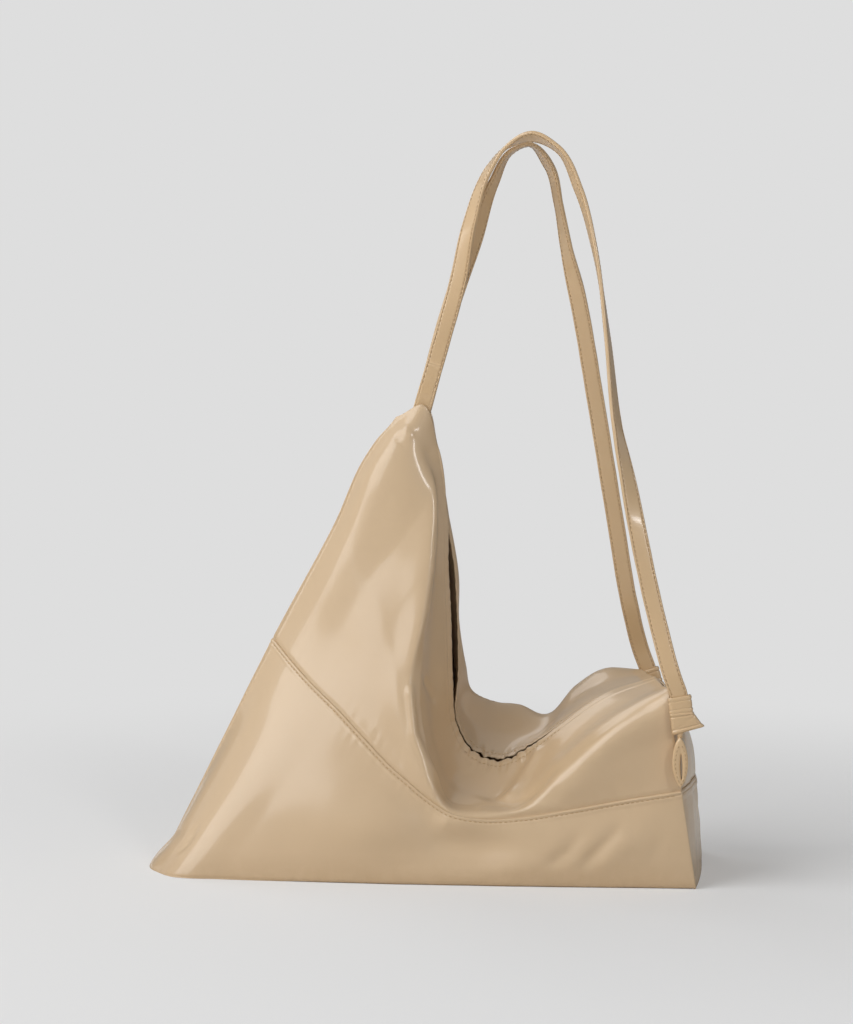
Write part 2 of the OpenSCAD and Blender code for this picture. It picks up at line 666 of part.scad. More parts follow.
// The tab hangs from the strap's tail, with its lower tip at the corner seam
module place_tab(side, lean, swollen) {
    head = fold_end(side) - [0, 0, half_thick + seam_gap];
    middle = head - [-sin(lean), 0, cos(lean)] * tab_length / 2;
    out = corner.y + seam_gap + tab_depth / 2 + swollen;
    translate([middle.x, side * out, middle.z]) rotate([0, -lean, 0]) loop_tab();
}
module on_knot(side, up) {
    translate(knot_point(side, up)) rotate([0, -knot_lean(side), 0]) children();
}
band_low = wrap_height + seam_gap;
module front_keeper_band() {
    color(tan_leather) on_knot(FRONT, band_low) keeper_band();
}
module back_keeper_band() {
    color(tan_leather) on_knot(BACK, band_low) keeper_band();
}
module front_wrap_band() {
    color(tan_leather) on_knot(FRONT, 0) wrap_band();
}
module back_wrap_band() {
    color(tan_leather) on_knot(BACK, 0) wrap_band();
}
front_tab_lean = 1;
back_tab_lean = 32;
back_tab_out = 0.6;
module front_loop_tab() {
    color(tan_leather) place_tab(FRONT, front_tab_lean, 0);
}
module back_loop_tab() {
    color(tan_leather) place_tab(BACK, back_tab_lean, back_tab_out);
}

front_lower_panel();
front_upper_panel();
back_lower_panel();
back_upper_panel();
base_panel();
gusset_lower();
gusset_upper();
base_board();
base_lining();
front_lining();
back_lining();
gusset_lining();
inner_pocket();
front_zip_tape();
back_zip_tape();
front_zip_teeth();
back_zip_teeth();
zip_stops();
zip_slider();
zip_pull();
strap_anchor();
front_strap_root();
back_strap_root();
front_strap();
back_strap();
front_keeper_band();
back_keeper_band();
front_wrap_band();
back_wrap_band();
front_loop_tab();
back_loop_tab();
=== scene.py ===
import math

import bpy
import numpy as np
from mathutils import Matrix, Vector


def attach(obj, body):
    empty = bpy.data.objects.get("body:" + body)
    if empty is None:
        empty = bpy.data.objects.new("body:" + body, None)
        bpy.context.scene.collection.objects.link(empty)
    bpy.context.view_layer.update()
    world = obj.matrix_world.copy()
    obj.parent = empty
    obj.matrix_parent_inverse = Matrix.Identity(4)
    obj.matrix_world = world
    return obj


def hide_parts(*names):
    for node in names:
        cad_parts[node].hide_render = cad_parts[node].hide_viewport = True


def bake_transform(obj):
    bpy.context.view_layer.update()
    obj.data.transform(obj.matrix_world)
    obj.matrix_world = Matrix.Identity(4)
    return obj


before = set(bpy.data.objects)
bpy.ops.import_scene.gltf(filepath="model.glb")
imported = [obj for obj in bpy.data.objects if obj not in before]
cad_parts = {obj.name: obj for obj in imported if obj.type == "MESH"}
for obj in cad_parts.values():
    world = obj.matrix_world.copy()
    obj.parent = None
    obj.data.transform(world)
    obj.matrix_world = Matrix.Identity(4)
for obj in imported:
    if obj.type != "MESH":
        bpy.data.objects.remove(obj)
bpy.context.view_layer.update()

# Soft trapeze shoulder bag of thin coated leather. The tables and lines are those of the part's
# source, in millimetres, and every mesh is turned into metres when it is made. A place on the
# leather is u, the station along the bag, from 0 at the peak to 13 at the low end, and v, the way
# up a side: 0 at the bottom, 2 at the waist seam, 4 at the fold and 6 at the lip.
MM = 0.001
FRONT, BACK = -1, 1
# Half the length and depth of the base, and the heights of the peak, low end, valley and seams
HALF_LENGTH, HALF_DEPTH = 232.5, 85.0
PEAK, LOW_END, VALLEY = 397.0, 163.0, 92.0
SEAM_SIDE, SEAM_LOW, SEAM_END = 194.0, 55.0, 81.0
FOLD_LOW = {FRONT: 64.0, BACK: 131.0}
# How far the lower and upper leather swell, the lips' sides sag and the end wall swells
BELLY, CHEST, SAG, END_BELLY = 6.0, 6.0, 5.0, 9.0
# Thicknesses of the leather, lining, zip tape and anchor patch, and the gap left between pieces
LEATHER, LINING, TAPE, ANCHOR_THICK, GAP = 1.6, 0.6, 0.5, 1.4, 0.3
# The mouth's width, the zip's depth under the lips, a tooth's size and the gap of the rows
MOUTH, ZIP_DEPTH, TOOTH, ROW_GAP = 10.0, 10.0, 1.4, 0.9
STRAP_WIDTH, STRAP_THICKNESS, STRAP_TOP = 15.0, 3.2, 625.0
LAST, VALLEY_STATION = 13, 9
SEAM_ROW, FOLD_ROW, LIP_ROW = 2, 4, 6
# The lines along the bag, station by station: x and y in parts of a hundred of the half length
# and depth, and the height in parts of a hundred from its lowest to its highest place
BOTTOM_LINE = [
    (-100, 0), (-98.5, 62), (-90, 95), (-71, 102), (-54, 105), (-39, 107), (-26, 108),
    (-11, 109), (4, 109), (22, 108), (39, 107), (58, 105), (78, 102), (100, 100),
]
SEAM_LINE = [
    (-57.8, 0, 100), (-48.9, 26, 87), (-41, 42.5, 75.6), (-30.5, 59, 61.3), (-20.4, 72, 45.5),
    (-10.4, 82.5, 29.8), (-2.9, 89.5, 20), (4.2, 94, 10.7), (11.6, 97.6, 3.5), (23.7, 99, 0),
    (37.8, 99, 7), (53.8, 97.6, 31), (74, 95.5, 66), (94.5, 93, 100),
]
FOLD_LINE = {
    FRONT: [
        (-20.6, 0, 86.5), (-9.5, 16.5, 91.3), (2.6, 18.8, 81.4), (4.6, 29.4, 66.7),
        (3, 43.5, 51), (0, 55.3, 35.4), (0.4, 67, 21.6), (5, 76.5, 10.2),
        (11.8, 74, 0.6), (23.7, 71.8, 0), (36.1, 71.8, 3), (50.8, 78.8, 33),
        (68.8, 87, 69.7), (89.7, 91.8, 100),
    ],
    BACK: [
        (-20.6, 0, 83), (-9.5, 16.5, 89), (3.4, 18.8, 77.8), (6.9, 26, 62.8),
        (9.7, 36.5, 45.5), (9.9, 49.4, 27.8), (12, 62.4, 13.2), (14.2, 73, 4.5),
        (22.4, 78.8, 0.8), (31.8, 78.8, 0), (41.7, 77.6, -19), (52.5, 82.4, 59),
        (64.5, 88.2, 106), (77.4, 91.8, 91),
    ],
}
LIP_LINE = [
    (-11.2, 98), (-1.7, 100), (3.9, 88.5), (6.9, 72.1), (8.6, 56.7), (9.9, 39.3), (10.3, 23.3),
    (10.8, 10.5), (16.3, 3), (26.7, 0), (37.8, 18), (49, 46.5), (64.5, 80), (83.9, 103),
]


# Lines and curves of the bag
def length_of(v):
    return np.linalg.norm(v, axis=-1, keepdims=True)


def unit(v):
    v = np.asarray(v, float)
    return v / np.maximum(length_of(v), 1e-9)


def ramp(a, b, u):
    t = np.clip((np.asarray(u, float) - a) / (b - a), 0, 1)
    return t * t * (3 - 2 * t)


def stretch(a, b, c, d, u):
    """Rises from 0 to 1 between a and b, and falls back to 0 between c and d."""
    return ramp(a, b, u) * (1 - ramp(c, d, u))


def bell(x, middle, width):
    """1 at the middle, fading out on both sides over a width."""
    return np.exp(-((x - middle) / width) ** 2)


def reach_along(points):
    """How far along a line of points each of them lies."""
    return np.concatenate([[0], np.cumsum(length_of(np.diff(points, axis=0))[:, 0])])


def slope(a, b, c):
    """The way a smooth curve runs at b, between a and c, per millimetre."""
    d, e = length_of(b - a), length_of(c - b)
    d_safe, e_safe = np.maximum(d, 1e-9), np.maximum(e, 1e-9)
    both = ((b - a) * e / d_safe + (c - b) * d / e_safe) / np.maximum(d + e, 1e-9)
    return np.where(d < 1e-9, (c - b) / e_safe, np.where(e < 1e-9, (b - a) / d_safe, both))


def curve(points, u):
    """The points at places u of a smooth curve through a list of points, or of one curve each."""
    points, u = np.asarray(points, float), np.asarray(u, float)
    last = len(points) - 1
    i = np.clip(np.floor(u), 0, last - 1).astype(int)

    def at(k):
        k = np.clip(k, 0, last)
        if points.ndim == 2:
            return points[k]
        return np.take_along_axis(points, k[None, ..., None], axis=0)[0]

    a, b, c, d = at(i - 1), at(i), at(i + 1), at(i + 2)
    t = (u - i)[..., None]
    span = length_of(c - b)
    m, n = span * slope(a, b, c), span * slope(b, c, d)
    t2, t3 = t * t, t * t * t
    return b * (2 * t3 - 3 * t2 + 1) + c * (3 * t2 - 2 * t3) + m * (t3 - 2 * t2 + t) + n * (t3 - t2)


def height(low, top, end, percent, i):
    return low + ((top if i < VALLEY_STATION else end) - low) * percent / 100


def swell(u):
    return np.maximum(0, np.sin(np.pi * np.asarray(u, float) / LAST)) ** 0.6


LIPS = np.array([
    (x * HALF_LENGTH / 100, 0, height(VALLEY, PEAK, LOW_END, z, i))
    for i, (x, z) in enumerate(LIP_LINE)
])


def opens(u):
    return ramp(3, 4.2, u)


def mouth_at(u):
    return MOUTH / 2 * opens(u) * (1 - ramp(10.9, 12, u))


# How far out a strap root lies, and how much wider than both roots their slot is
ROOT_OUT, SLOT_ROOM = ANCHOR_THICK / 2 + GAP + STRAP_THICKNESS / 2, 1.15


def lip_gap(u):
    """How far a lip lies from the middle: half the mouth, or room for the strap roots."""
    slot = SLOT_ROOM * (ROOT_OUT + STRAP_THICKNESS / 2) * (1 - ramp(0.5, 1, np.abs(u - 1)))
    return LEATHER + GAP / 2 + np.maximum(mouth_at(u), slot)


def inward(u):
    """The way from the lips into the bag, at right angles to them."""
    u = np.clip(np.asarray(u, float), 0.06, LAST - 0.06)
    t = unit(curve(LIPS, u + 0.05) - curve(LIPS, u - 0.05))
    return np.stack([t[..., 2], np.zeros(u.shape), -t[..., 0]], axis=-1)


def full_size(x, y, z):
    """A point whose x and y are in parts of a hundred of the half length and half depth."""
    return np.array([x * HALF_LENGTH / 100, y * HALF_DEPTH / 100, z])


def side_lines(side):
    """The lines that run along one side of the bag, from the bottom up to the lip."""
    rows = []
    for i in range(LAST + 1):
        bottom = full_size(*BOTTOM_LINE[i], 0)
        x, y, z = SEAM_LINE[i]
        seam = full_size(x, y, height(SEAM_LOW, SEAM_SIDE, SEAM_END, z, i))
        x, y, z = FOLD_LINE[side][i]
        fold = full_size(x, y, height(FOLD_LOW[side], PEAK, LOW_END, z, i))
        lip = LIPS[i] + np.array([0, lip_gap(float(i)), 0])
        full = float(swell(i))
        rows.append([
            bottom, (bottom + seam) / 2 + np.array([0, BELLY * full, 0]), seam,
            (seam + fold) / 2 + np.array([0, CHEST * full, 0]), fold,
            (fold + lip) / 2 + inward(i) * SAG * full, lip,
        ])
    return np.array(rows).transpose(1, 0, 2) * np.array([1, side, 1])


LINES = {side: side_lines(side) for side in (FRONT, BACK)}
# Stretches along the bag that are creased and slumped: where each begins, is full, wanes and ends
CREASED, SLUMPED = (4.2, 5.4, 9.2, 10.4), (8.4, 10, 11.8, 12.9)
# How tight each side's crease is, and how much of the slump each side takes
CREASE, SLUMP = {FRONT: 0.85, BACK: 0.3}, {FRONT: 1, BACK: 0.35}
# How far the slump pushes the upper leather out and draws the seam in, and how far the lower
# leather swells under the tall part and falls back under the valley
SLUMP_OUT, SLUMP_IN, SWELL_OUT, FALL_BACK = 5.5, 3.5, 3.5, 8.5


def raw_skin(side, u, v):
    """The outside of the leather before its small folds."""
    rows = np.stack([curve(line, u) for line in LINES[side]])
    smooth = curve(rows, v)
    # Where the tall part and the valley meet the mouth, the leather turns over in a tight crease
    low = np.clip(np.floor(v), 0, len(rows) - 2).astype(int)
    a = np.take_along_axis(rows, low[None, ..., None], 0)[0]
    b = np.take_along_axis(rows, low[None, ..., None] + 1, 0)[0]
    straight = a + (b - a) * (v - low)[..., None]
    tight = CREASE[side] * stretch(*CREASED, u) * stretch(3, 3.7, 4.3, 5, v)
    # The low end slumps forward, so that its front hangs over the seam a little
    slump = stretch(*SLUMPED, u) * SLUMP[side] * (SLUMP_OUT * bell(v, 3.7, 0.8) - SLUMP_IN * bell(v, 2, 0.6))
    # Under the valley the lower leather falls back from a full belly
    belly = (SWELL_OUT * bell(u, 5.0, 1.6) - FALL_BACK * bell(u, 8.6, 1.6)) * bell(v, 1.2, 0.6)
    out = side * (slump + belly)
    p = smooth + (straight - smooth) * tight[..., None]
    return p + np.stack([0 * out, out, 0 * out], axis=-1)


def skin_normal(side, u, v):
    e = 0.02
    du = raw_skin(side, np.minimum(LAST, u + e), v) - raw_skin(side, np.maximum(0, u - e), v)
    dv = raw_skin(side, u, np.minimum(LIP_ROW, v + e)) - raw_skin(side, u, np.maximum(0, v - e))
    return unit(np.cross(du, dv)) * -side


def keep_side(side, p, least):
    """Each half of the bag keeps to its own side of the middle and stays off the ground."""
    y = side * np.maximum(least, side * p[..., 1])
    return np.stack([p[..., 0], y, np.maximum(0, p[..., 2])], axis=-1)


# Slack of the leather
def gather(s, pitch, seed):
    """An uneven row of small puckers along a stitched line."""
    a, b, c = np.random.default_rng(seed).uniform(0, 2 * math.pi, 3)
    turn = 2 * math.pi * s / pitch
    drift = 1.2 * np.sin(turn / 5.3 + a) + 0.9 * np.sin(turn / 11.7 + b)
    return (0.62 + 0.38 * np.sin(turn / 3.1 + c)) * np.sin(turn + drift)


def unevenness(p, size, seed, waves=7):
    """A soft rise and fall over the leather, with bumps of about a given size."""
    rng = np.random.default_rng(seed)
    total = 0
    for _ in range(waves):
        way = unit(rng.normal(size=3)) * 2 * math.pi / (size * rng.uniform(1.2, 2.4))
        total = total + np.sin(p @ way + rng.uniform(0, 2 * math.pi))
    return total / waves ** 0.5


def along_fold(p, path, width, fade):
    """1 on a line through some points, fading out over a width and towards the line's ends."""
    path = np.array(path, float)
    best = np.full(p.shape[:-1], 1e9)
    place = np.zeros(p.shape[:-1])
    reach = reach_along(path)
    for k in range(len(path) - 1):
        step = path[k + 1] - path[k]
        t = np.clip(((p - path[k]) @ step) / (step @ step), 0, 1)
        d = length_of(p - path[k] - t[..., None] * step)[..., 0]
        place = np.where(d < best, reach[k] + t * (reach[k + 1] - reach[k]), place)
        best = np.minimum(best, d)
    ends = ramp(0, fade, place) * ramp(0, fade, reach[-1] - place)
    return bell(best, 0, width) * (0.15 + 0.85 * ends)


# Soft folds and dents: side, points, width, fade at the ends, and how far they push out or in
FOLDS = [
    (FRONT, [(60, -92, 12), (88, -92, 14), (118, -92, 16)], 9, 25, 0.8),
    (FRONT, [(104, -92, 14), (126, -92, 30), (142, -90, 54)], 7, 20, -2.4),
    (FRONT, [(136, -92, 14), (152, -92, 32), (176, -88, 60)], 6, 18, -3.0),
    (FRONT, [(150, -92, 12), (168, -92, 30), (186, -88, 50)], 8, 20, 1.2),
    (FRONT, [(190, -92, 12), (200, -92, 30), (206, -88, 56)], 8, 20, -1.4),
    (FRONT, [(-50, -86, 30), (-10, -92, 22), (45, -92, 26), (90, -90, 36)], 17, 40, -2.2),
    (FRONT, [(-30, -84, 66), (10, -86, 52), (60, -86, 46)], 9, 30, 0.8),
    (FRONT, [(-206, -60, 12), (-199, -68, 28), (-190, -66, 50)], 5, 14, -2.4),
    (FRONT, [(-222, -30, 34), (-206, -50, 28), (-190, -70, 14)], 5, 12, -1.8),
    (FRONT, [(-40, -62, 120), (-30, -50, 170), (-14, -42, 220), (-6, -32, 262)], 14, 50, -0.8),
    (FRONT, [(2, -30, 330), (-22, -34, 280), (-50, -38, 225), (-72, -42, 180)], 16, 50, 0.7),
    (FRONT, [(-20, -22, 350), (-45, -28, 290), (-80, -30, 230)], 12, 40, -0.6),
    (FRONT, [(136, -80, 80), (160, -78, 100), (178, -70, 126)], 15, 28, -1.6),
    (FRONT, [(104, -72, 84), (140, -62, 110), (172, -52, 138)], 10, 25, 0.9),
    (FRONT, [(96, -82, 66), (112, -80, 74), (124, -78, 84)], 6, 14, -1.8),
    (FRONT, [(98, -10, 110), (86, -28, 90), (77, -46, 75), (71, -60, 68)], 7, 12, 3.4),
    (FRONT, [(90, -8, 104), (75, -28, 86), (62, -46, 73), (54, -58, 69)], 8, 12, -3.2),
    (FRONT, [(1, -45, 170), (8, -38, 157), (14, -28, 143)], 4, 8, -1.8),
    (FRONT, [(30, -52, 78), (34, -34, 84), (38, -16, 92)], 7, 14, -2.0),
    (FRONT, [(-24, -12, 374), (-19, -14, 365), (-12, -14, 360)], 3, 5, -1.6),
    (FRONT, [(-18, -10, 382), (-14, -12, 374), (-8, -12, 368)], 3, 5, 1.4),
    (FRONT, [(-28, -70, 86), (-6, -78, 66), (20, -84, 44), (48, -92, 30)], 12, 30, -1.8),
    (BACK, [(60, 92, 20), (100, 92, 42), (150, 92, 60)], 12, 30, -3.2),
    (BACK, [(110, 92, 14), (150, 92, 30), (190, 90, 56)], 10, 28, 2.2),
    (BACK, [(-10, 60, 170), (-20, 50, 230), (-8, 40, 290)], 12, 50, -2.2),
    (BACK, [(40, 86, 70), (90, 84, 96), (150, 84, 110)], 11, 35, 2.2),
    (BACK, [(20, 70, 120), (60, 80, 96), (110, 82, 90)], 10, 30, -2.4),
    (BACK, [(-150, 70, 24), (-110, 80, 60), (-70, 80, 100)], 13, 35, -2.2),
    (BACK, [(-204, 60, 12), (-197, 68, 28), (-186, 66, 50)], 5, 14, -2.2),
]


# A pinched line beside the crease of the tall part, as seen from the front, and its measures
PINCH_PUSH, PINCH_WIDTH, PINCH_FADE = 2.3, 3.2, 10
PINCH = [(-9, 0, 166), (-7, 0, 145), (-4, 0, 124), (6, 0, 102), (27, 0, 68)]


def slack(side, p):
    """How far the leather stands out of its lines, in soft waves, a hollow and the folds."""
    out = 0.26 * unevenness(p, 80, 5 + side) + 0.05 * unevenness(p, 24, 9 + side)
    # A hollow along the crease of the low end
    out = out - 2.4 * along_fold(p, LINES[side][FOLD_ROW][VALLEY_STATION:], 9, 22)
    for fold_side, path, width, fade, push in FOLDS:
        if fold_side == side:
            out = out + push * along_fold(p, path, width, fade)
    return out


# Meshes
def add_mesh(name, points, faces):
    """A smooth mesh in metres, of points in millimetres and blocks of faces, none below the floor."""
    faces = [f for f in faces if len(f)]
    used = np.zeros(len(points), bool)
    for block in faces:
        used[np.asarray(block).ravel()] = True
    renumber = np.cumsum(used) - 1
    mesh = bpy.data.meshes.new(name)
    cells = [row for block in faces for row in renumber[np.asarray(block)].tolist()]
    points = np.asarray(points, float)[used]
    points[:, 2] = np.maximum(points[:, 2], 0)
    mesh.from_pydata((points * MM).tolist(), [], cells)
    mesh.validate()
    mesh.polygons.foreach_set("use_smooth", [True] * len(mesh.polygons))
    mesh.update()
    piece = bpy.data.objects.new(name, mesh)
    bpy.context.scene.collection.objects.link(piece)
    return piece


def sheet(name, outer, inner, keep=None, loop=False, roll=3):
    """A sheet between an outer and an inner grid of points, with its edges rolled over."""
    rows, cols = outer.shape[:2]
    n = rows * cols
    grid = np.arange(n).reshape(rows, cols)
    if loop:
        grid = np.concatenate([grid, grid[:, :1]], axis=1)
    quads = np.stack([grid[:-1, :-1], grid[:-1, 1:], grid[1:, 1:], grid[1:, :-1]], axis=-1)
    quads = quads.reshape(-1, 4) if keep is None else quads[keep]
    top, under = outer.reshape(-1, 3), inner.reshape(-1, 3)
    a, b, c, d = (top[quads[:, k]] for k in range(4))
    face_way = np.cross(c - a, d - b)
    if (face_way * (top - under)[quads[:, 0]]).sum() < 0:
        quads, face_way = quads[:, ::-1], -face_way
    edges = np.concatenate([quads[:, [k, (k + 1) % 4]] for k in range(4)])
    ways = np.tile(unit(face_way), (4, 1))
    key, back_key = edges[:, 0] * n + edges[:, 1], edges[:, 1] * n + edges[:, 0]
    rim = ~np.isin(key, back_key)
    edges, ways = edges[rim], ways[rim]
    out_way = np.zeros((n, 3))
    push = unit(np.cross(top[edges[:, 1]] - top[edges[:, 0]], ways))
    np.add.at(out_way, edges[:, 0], push)
    np.add.at(out_way, edges[:, 1], push)
    ring = np.unique(edges)
    place = np.zeros(n, int)
    place[ring] = np.arange(len(ring))
    middle, half = (top[ring] + under[ring]) / 2, (top[ring] - under[ring]) / 2
    points = [top, under]
    for k in range(1, roll + 1):
        turn = math.pi * k / (roll + 1)
        points.append(middle + math.cos(turn) * half + math.sin(turn) * unit(out_way[ring]) * length_of(half))
    layers = [edges] + [2 * n + k * len(ring) + place[edges] for k in range(roll)] + [edges + n]
    faces = [quads, quads[:, ::-1] + n]
    for near, far in zip(layers[:-1], layers[1:]):
        faces.append(np.stack([near[:, 1], near[:, 0], far[:, 0], far[:, 1]], axis=-1))
    return add_mesh(name, np.concatenate(points), faces)


def loft(name, rings, loop=False):
    """A closed form through rings with the same number of points, capped at both ends."""
    rings = np.asarray(rings, float)
    rows, n = rings.shape[:2]
    grid = np.arange(rows * n).reshape(rows, n)
    grid = np.concatenate([grid, grid[:, :1]], axis=1)
    if loop:
        grid = np.concatenate([grid, grid[:1]], axis=0)
    quads = np.stack([grid[:-1, :-1], grid[:-1, 1:], grid[1:, 1:], grid[1:, :-1]], axis=-1).reshape(-1, 4)
    points = rings.reshape(-1, 3)
    a, b, c, d = (points[quads[:, k]] for k in range(4))
    volume = (np.cross(b - a, c - a) * (a - points.mean(0))).sum()
    faces = [quads if volume > 0 else quads[:, ::-1]]
    if not loop:
        caps = [grid[:1, -2::-1], grid[-1:, :-1]] if volume > 0 else [grid[:1, :-1], grid[-1:, -2::-1]]
        faces += caps
    return add_mesh(name, points, faces)


# The rings of a stitch: their place along it in parts of its length, their size and their lift
STITCH_RINGS = [
    (-0.5, 0.35, -0.28), (-0.34, 0.9, 0.05), (0, 1.0, 0.14), (0.34, 0.9, 0.05), (0.5, 0.35, -0.28),
]
STITCH_SIDES, STITCH_PITCH = 6, 4.2


def stitch_row(path, ways, pitch=STITCH_PITCH, length=3.1, thick=0.36):
    """The points and faces of a row of stitches along a path, lying on the side that ways gives."""
    reach = reach_along(path)
    count = max(1, int((reach[-1] - pitch) // pitch))
    middle = (np.arange(count) + 0.5) * (reach[-1] / count)

    def at(values, s):
        return np.stack([np.interp(s, reach, values[:, k]) for k in range(3)], axis=-1)

    rings = []
    for part, size, lift in STITCH_RINGS:
        s = np.clip(middle + part * length, 0, reach[-1])
        run = at(path, np.minimum(s + 0.5, reach[-1])) - at(path, np.maximum(s - 0.5, 0))
        up = unit(at(ways, s))
        across = unit(np.cross(run, up))
        for k in range(STITCH_SIDES):
            turn = 2 * math.pi * k / STITCH_SIDES
            round_way = math.cos(turn) * across * 1.2 + math.sin(turn) * up
            rings.append(at(path, s) + up * lift + thick * size * round_way)
    rows = len(STITCH_RINGS)
    points = np.array(rings).reshape(rows, STITCH_SIDES, count, 3).transpose(2, 0, 1, 3).reshape(-1, 3)
    faces = []
    for r in range(rows - 1):
        for k in range(STITCH_SIDES):
            a, b = r * STITCH_SIDES + k, r * STITCH_SIDES + (k + 1) % STITCH_SIDES
            faces.append([a, b, b + STITCH_SIDES, a + STITCH_SIDES])
    faces = np.array(faces)[None] + (np.arange(count) * rows * STITCH_SIDES)[:, None, None]
    return points, faces.reshape(-1, 4)


def stitches(name, rows, **size):
    """Rows of stitches, each given by its path and the side that it lies on, as one piece."""
    points, faces, first = [], [], 0
    for path, ways in rows:
        p, f = stitch_row(path, ways, **size)
        points.append(p)
        faces.append(f + first)
        first += len(p)
    return add_mesh(name, np.concatenate(points), [np.concatenate(faces)])


# Finishes
def linear(red, green, blue):
    """A colour as a screen shows it, from 0 to 255, as light."""
    light = [((c / 255 + 0.055) / 1.055) ** 2.4 if c > 10 else c / 3294.6 for c in (red, green, blue)]
    return (*light, 1)


def make_group(name, inputs, outputs):
    group = bpy.data.node_groups.new(name, "ShaderNodeTree")
    for label, kind, value in inputs:
        group.interface.new_socket(label, in_out="INPUT", socket_type=kind).default_value = value
    for label, kind in outputs:
        group.interface.new_socket(label, in_out="OUTPUT", socket_type=kind)
    return group, group.nodes.new("NodeGroupInput"), group.nodes.new("NodeGroupOutput")


def math_node(tree, operation, a, b=None, c=None):
    node = tree.nodes.new("ShaderNodeMath")
    node.operation = operation
    for socket, value in zip(node.inputs, (a, b, c)):
        if value is None:
            continue
        if isinstance(value, (int, float)):
            socket.default_value = value
        else:
            tree.links.new(value, socket)
    return node.outputs[0]


def mix_colour(tree, amount, a, b):
    node = tree.nodes.new("ShaderNodeMix")
    node.data_type = "RGBA"
    for socket, value in ((node.inputs["Factor"], amount), (node.inputs[6], a), (node.inputs[7], b)):
        if isinstance(value, (int, float, tuple)):
            socket.default_value = value
        else:
            tree.links.new(value, socket)
    return node.outputs[2]


def place_on(tree):
    """The place on the piece, in metres."""
    return tree.nodes.new("ShaderNodeTexCoord").outputs["Object"]


def noise_node(tree, place, scale, detail=3.0, roughness=0.5, distortion=0.0):
    node = tree.nodes.new("ShaderNodeTexNoise")
    node.inputs["Detail"].default_value = detail
    node.inputs["Roughness"].default_value = roughness
    node.inputs["Distortion"].default_value = distortion
    tree.links.new(place, node.inputs["Vector"])
    if isinstance(scale, (int, float)):
        node.inputs["Scale"].default_value = scale
    else:
        tree.links.new(scale, node.inputs["Scale"])
    return node.outputs["Fac"]


def leather_grain_group():
    """Fine pores, a faint crinkle of the coating, and slow cloudiness of its colour and gloss."""
    group, given, result = make_group(
        "Leather grain",
        [("Pores per metre", "NodeSocketFloat", 900.0), ("Crinkle", "NodeSocketFloat", 0.5)],
        [("Height", "NodeSocketFloat"), ("Cloud", "NodeSocketFloat"), ("Gloss", "NodeSocketFloat")],
    )
    place = place_on(group)
    pores = group.nodes.new("ShaderNodeTexVoronoi")
    pores.feature = "SMOOTH_F1"
    group.links.new(place, pores.inputs["Vector"])
    group.links.new(given.outputs["Pores per metre"], pores.inputs["Scale"])
    fine = noise_node(group, place, scale=420.0, detail=4, roughness=0.6)
    crinkle = noise_node(group, place, scale=62.0, detail=5, roughness=0.55, distortion=0.6)
    folds = math_node(group, "ABSOLUTE", math_node(group, "SUBTRACT", crinkle, 0.5))
    rise = math_node(group, "MULTIPLY", math_node(group, "SUBTRACT", 0.25, folds), given.outputs["Crinkle"])
    grain = math_node(group, "ADD", math_node(group, "MULTIPLY", pores.outputs["Distance"], 0.10),
                      math_node(group, "MULTIPLY", fine, 0.10))
    group.links.new(math_node(group, "ADD", grain, rise), result.inputs["Height"])
    group.links.new(noise_node(group, place, scale=7.0, detail=3, roughness=0.55), result.inputs["Cloud"])
    group.links.new(noise_node(group, place, scale=28.0, detail=4, roughness=0.6), result.inputs["Gloss"])
    return group


def handling_group():
    """Colour that is a little lighter where hands rub it and a little dirtier near the ground."""
    group, given, result = make_group(
        "Handling",
        [("Colour", "NodeSocketColor", (0.6, 0.4, 0.2, 1)), ("Rubbed", "NodeSocketColor", (0.7, 0.5, 0.3, 1)),
         ("Soiled", "NodeSocketColor", (0.3, 0.2, 0.1, 1)), ("Cloud", "NodeSocketFloat", 0.5),
         ("Amount", "NodeSocketFloat", 0.5)],
        [("Colour", "NodeSocketColor"), ("Soil", "NodeSocketFloat")],
    )
    place = place_on(group)
    split = group.nodes.new("ShaderNodeSeparateXYZ")
    group.links.new(place, split.inputs[0])
    spots = noise_node(group, place, scale=90.0, detail=5, roughness=0.65)
    # The soil fades out 25 mm above the ground
    low = math_node(group, "SUBTRACT", 1.0, math_node(group, "MULTIPLY", split.outputs["Z"], 40.0))
    low = math_node(group, "MAXIMUM", low, 0.0)
    soil = math_node(group, "MULTIPLY", math_node(group, "MULTIPLY", low, spots), given.outputs["Amount"])
    rub = math_node(group, "MULTIPLY", math_node(group, "SUBTRACT", given.outputs["Cloud"], 0.35),
                    given.outputs["Amount"])
    rub = math_node(group, "MINIMUM", math_node(group, "MAXIMUM", rub, 0.0), 1.0)
    first = mix_colour(group, rub, given.outputs["Colour"], given.outputs["Rubbed"])
    group.links.new(mix_colour(group, soil, first, given.outputs["Soiled"]), result.inputs["Colour"])
    group.links.new(soil, result.inputs["Soil"])
    return group


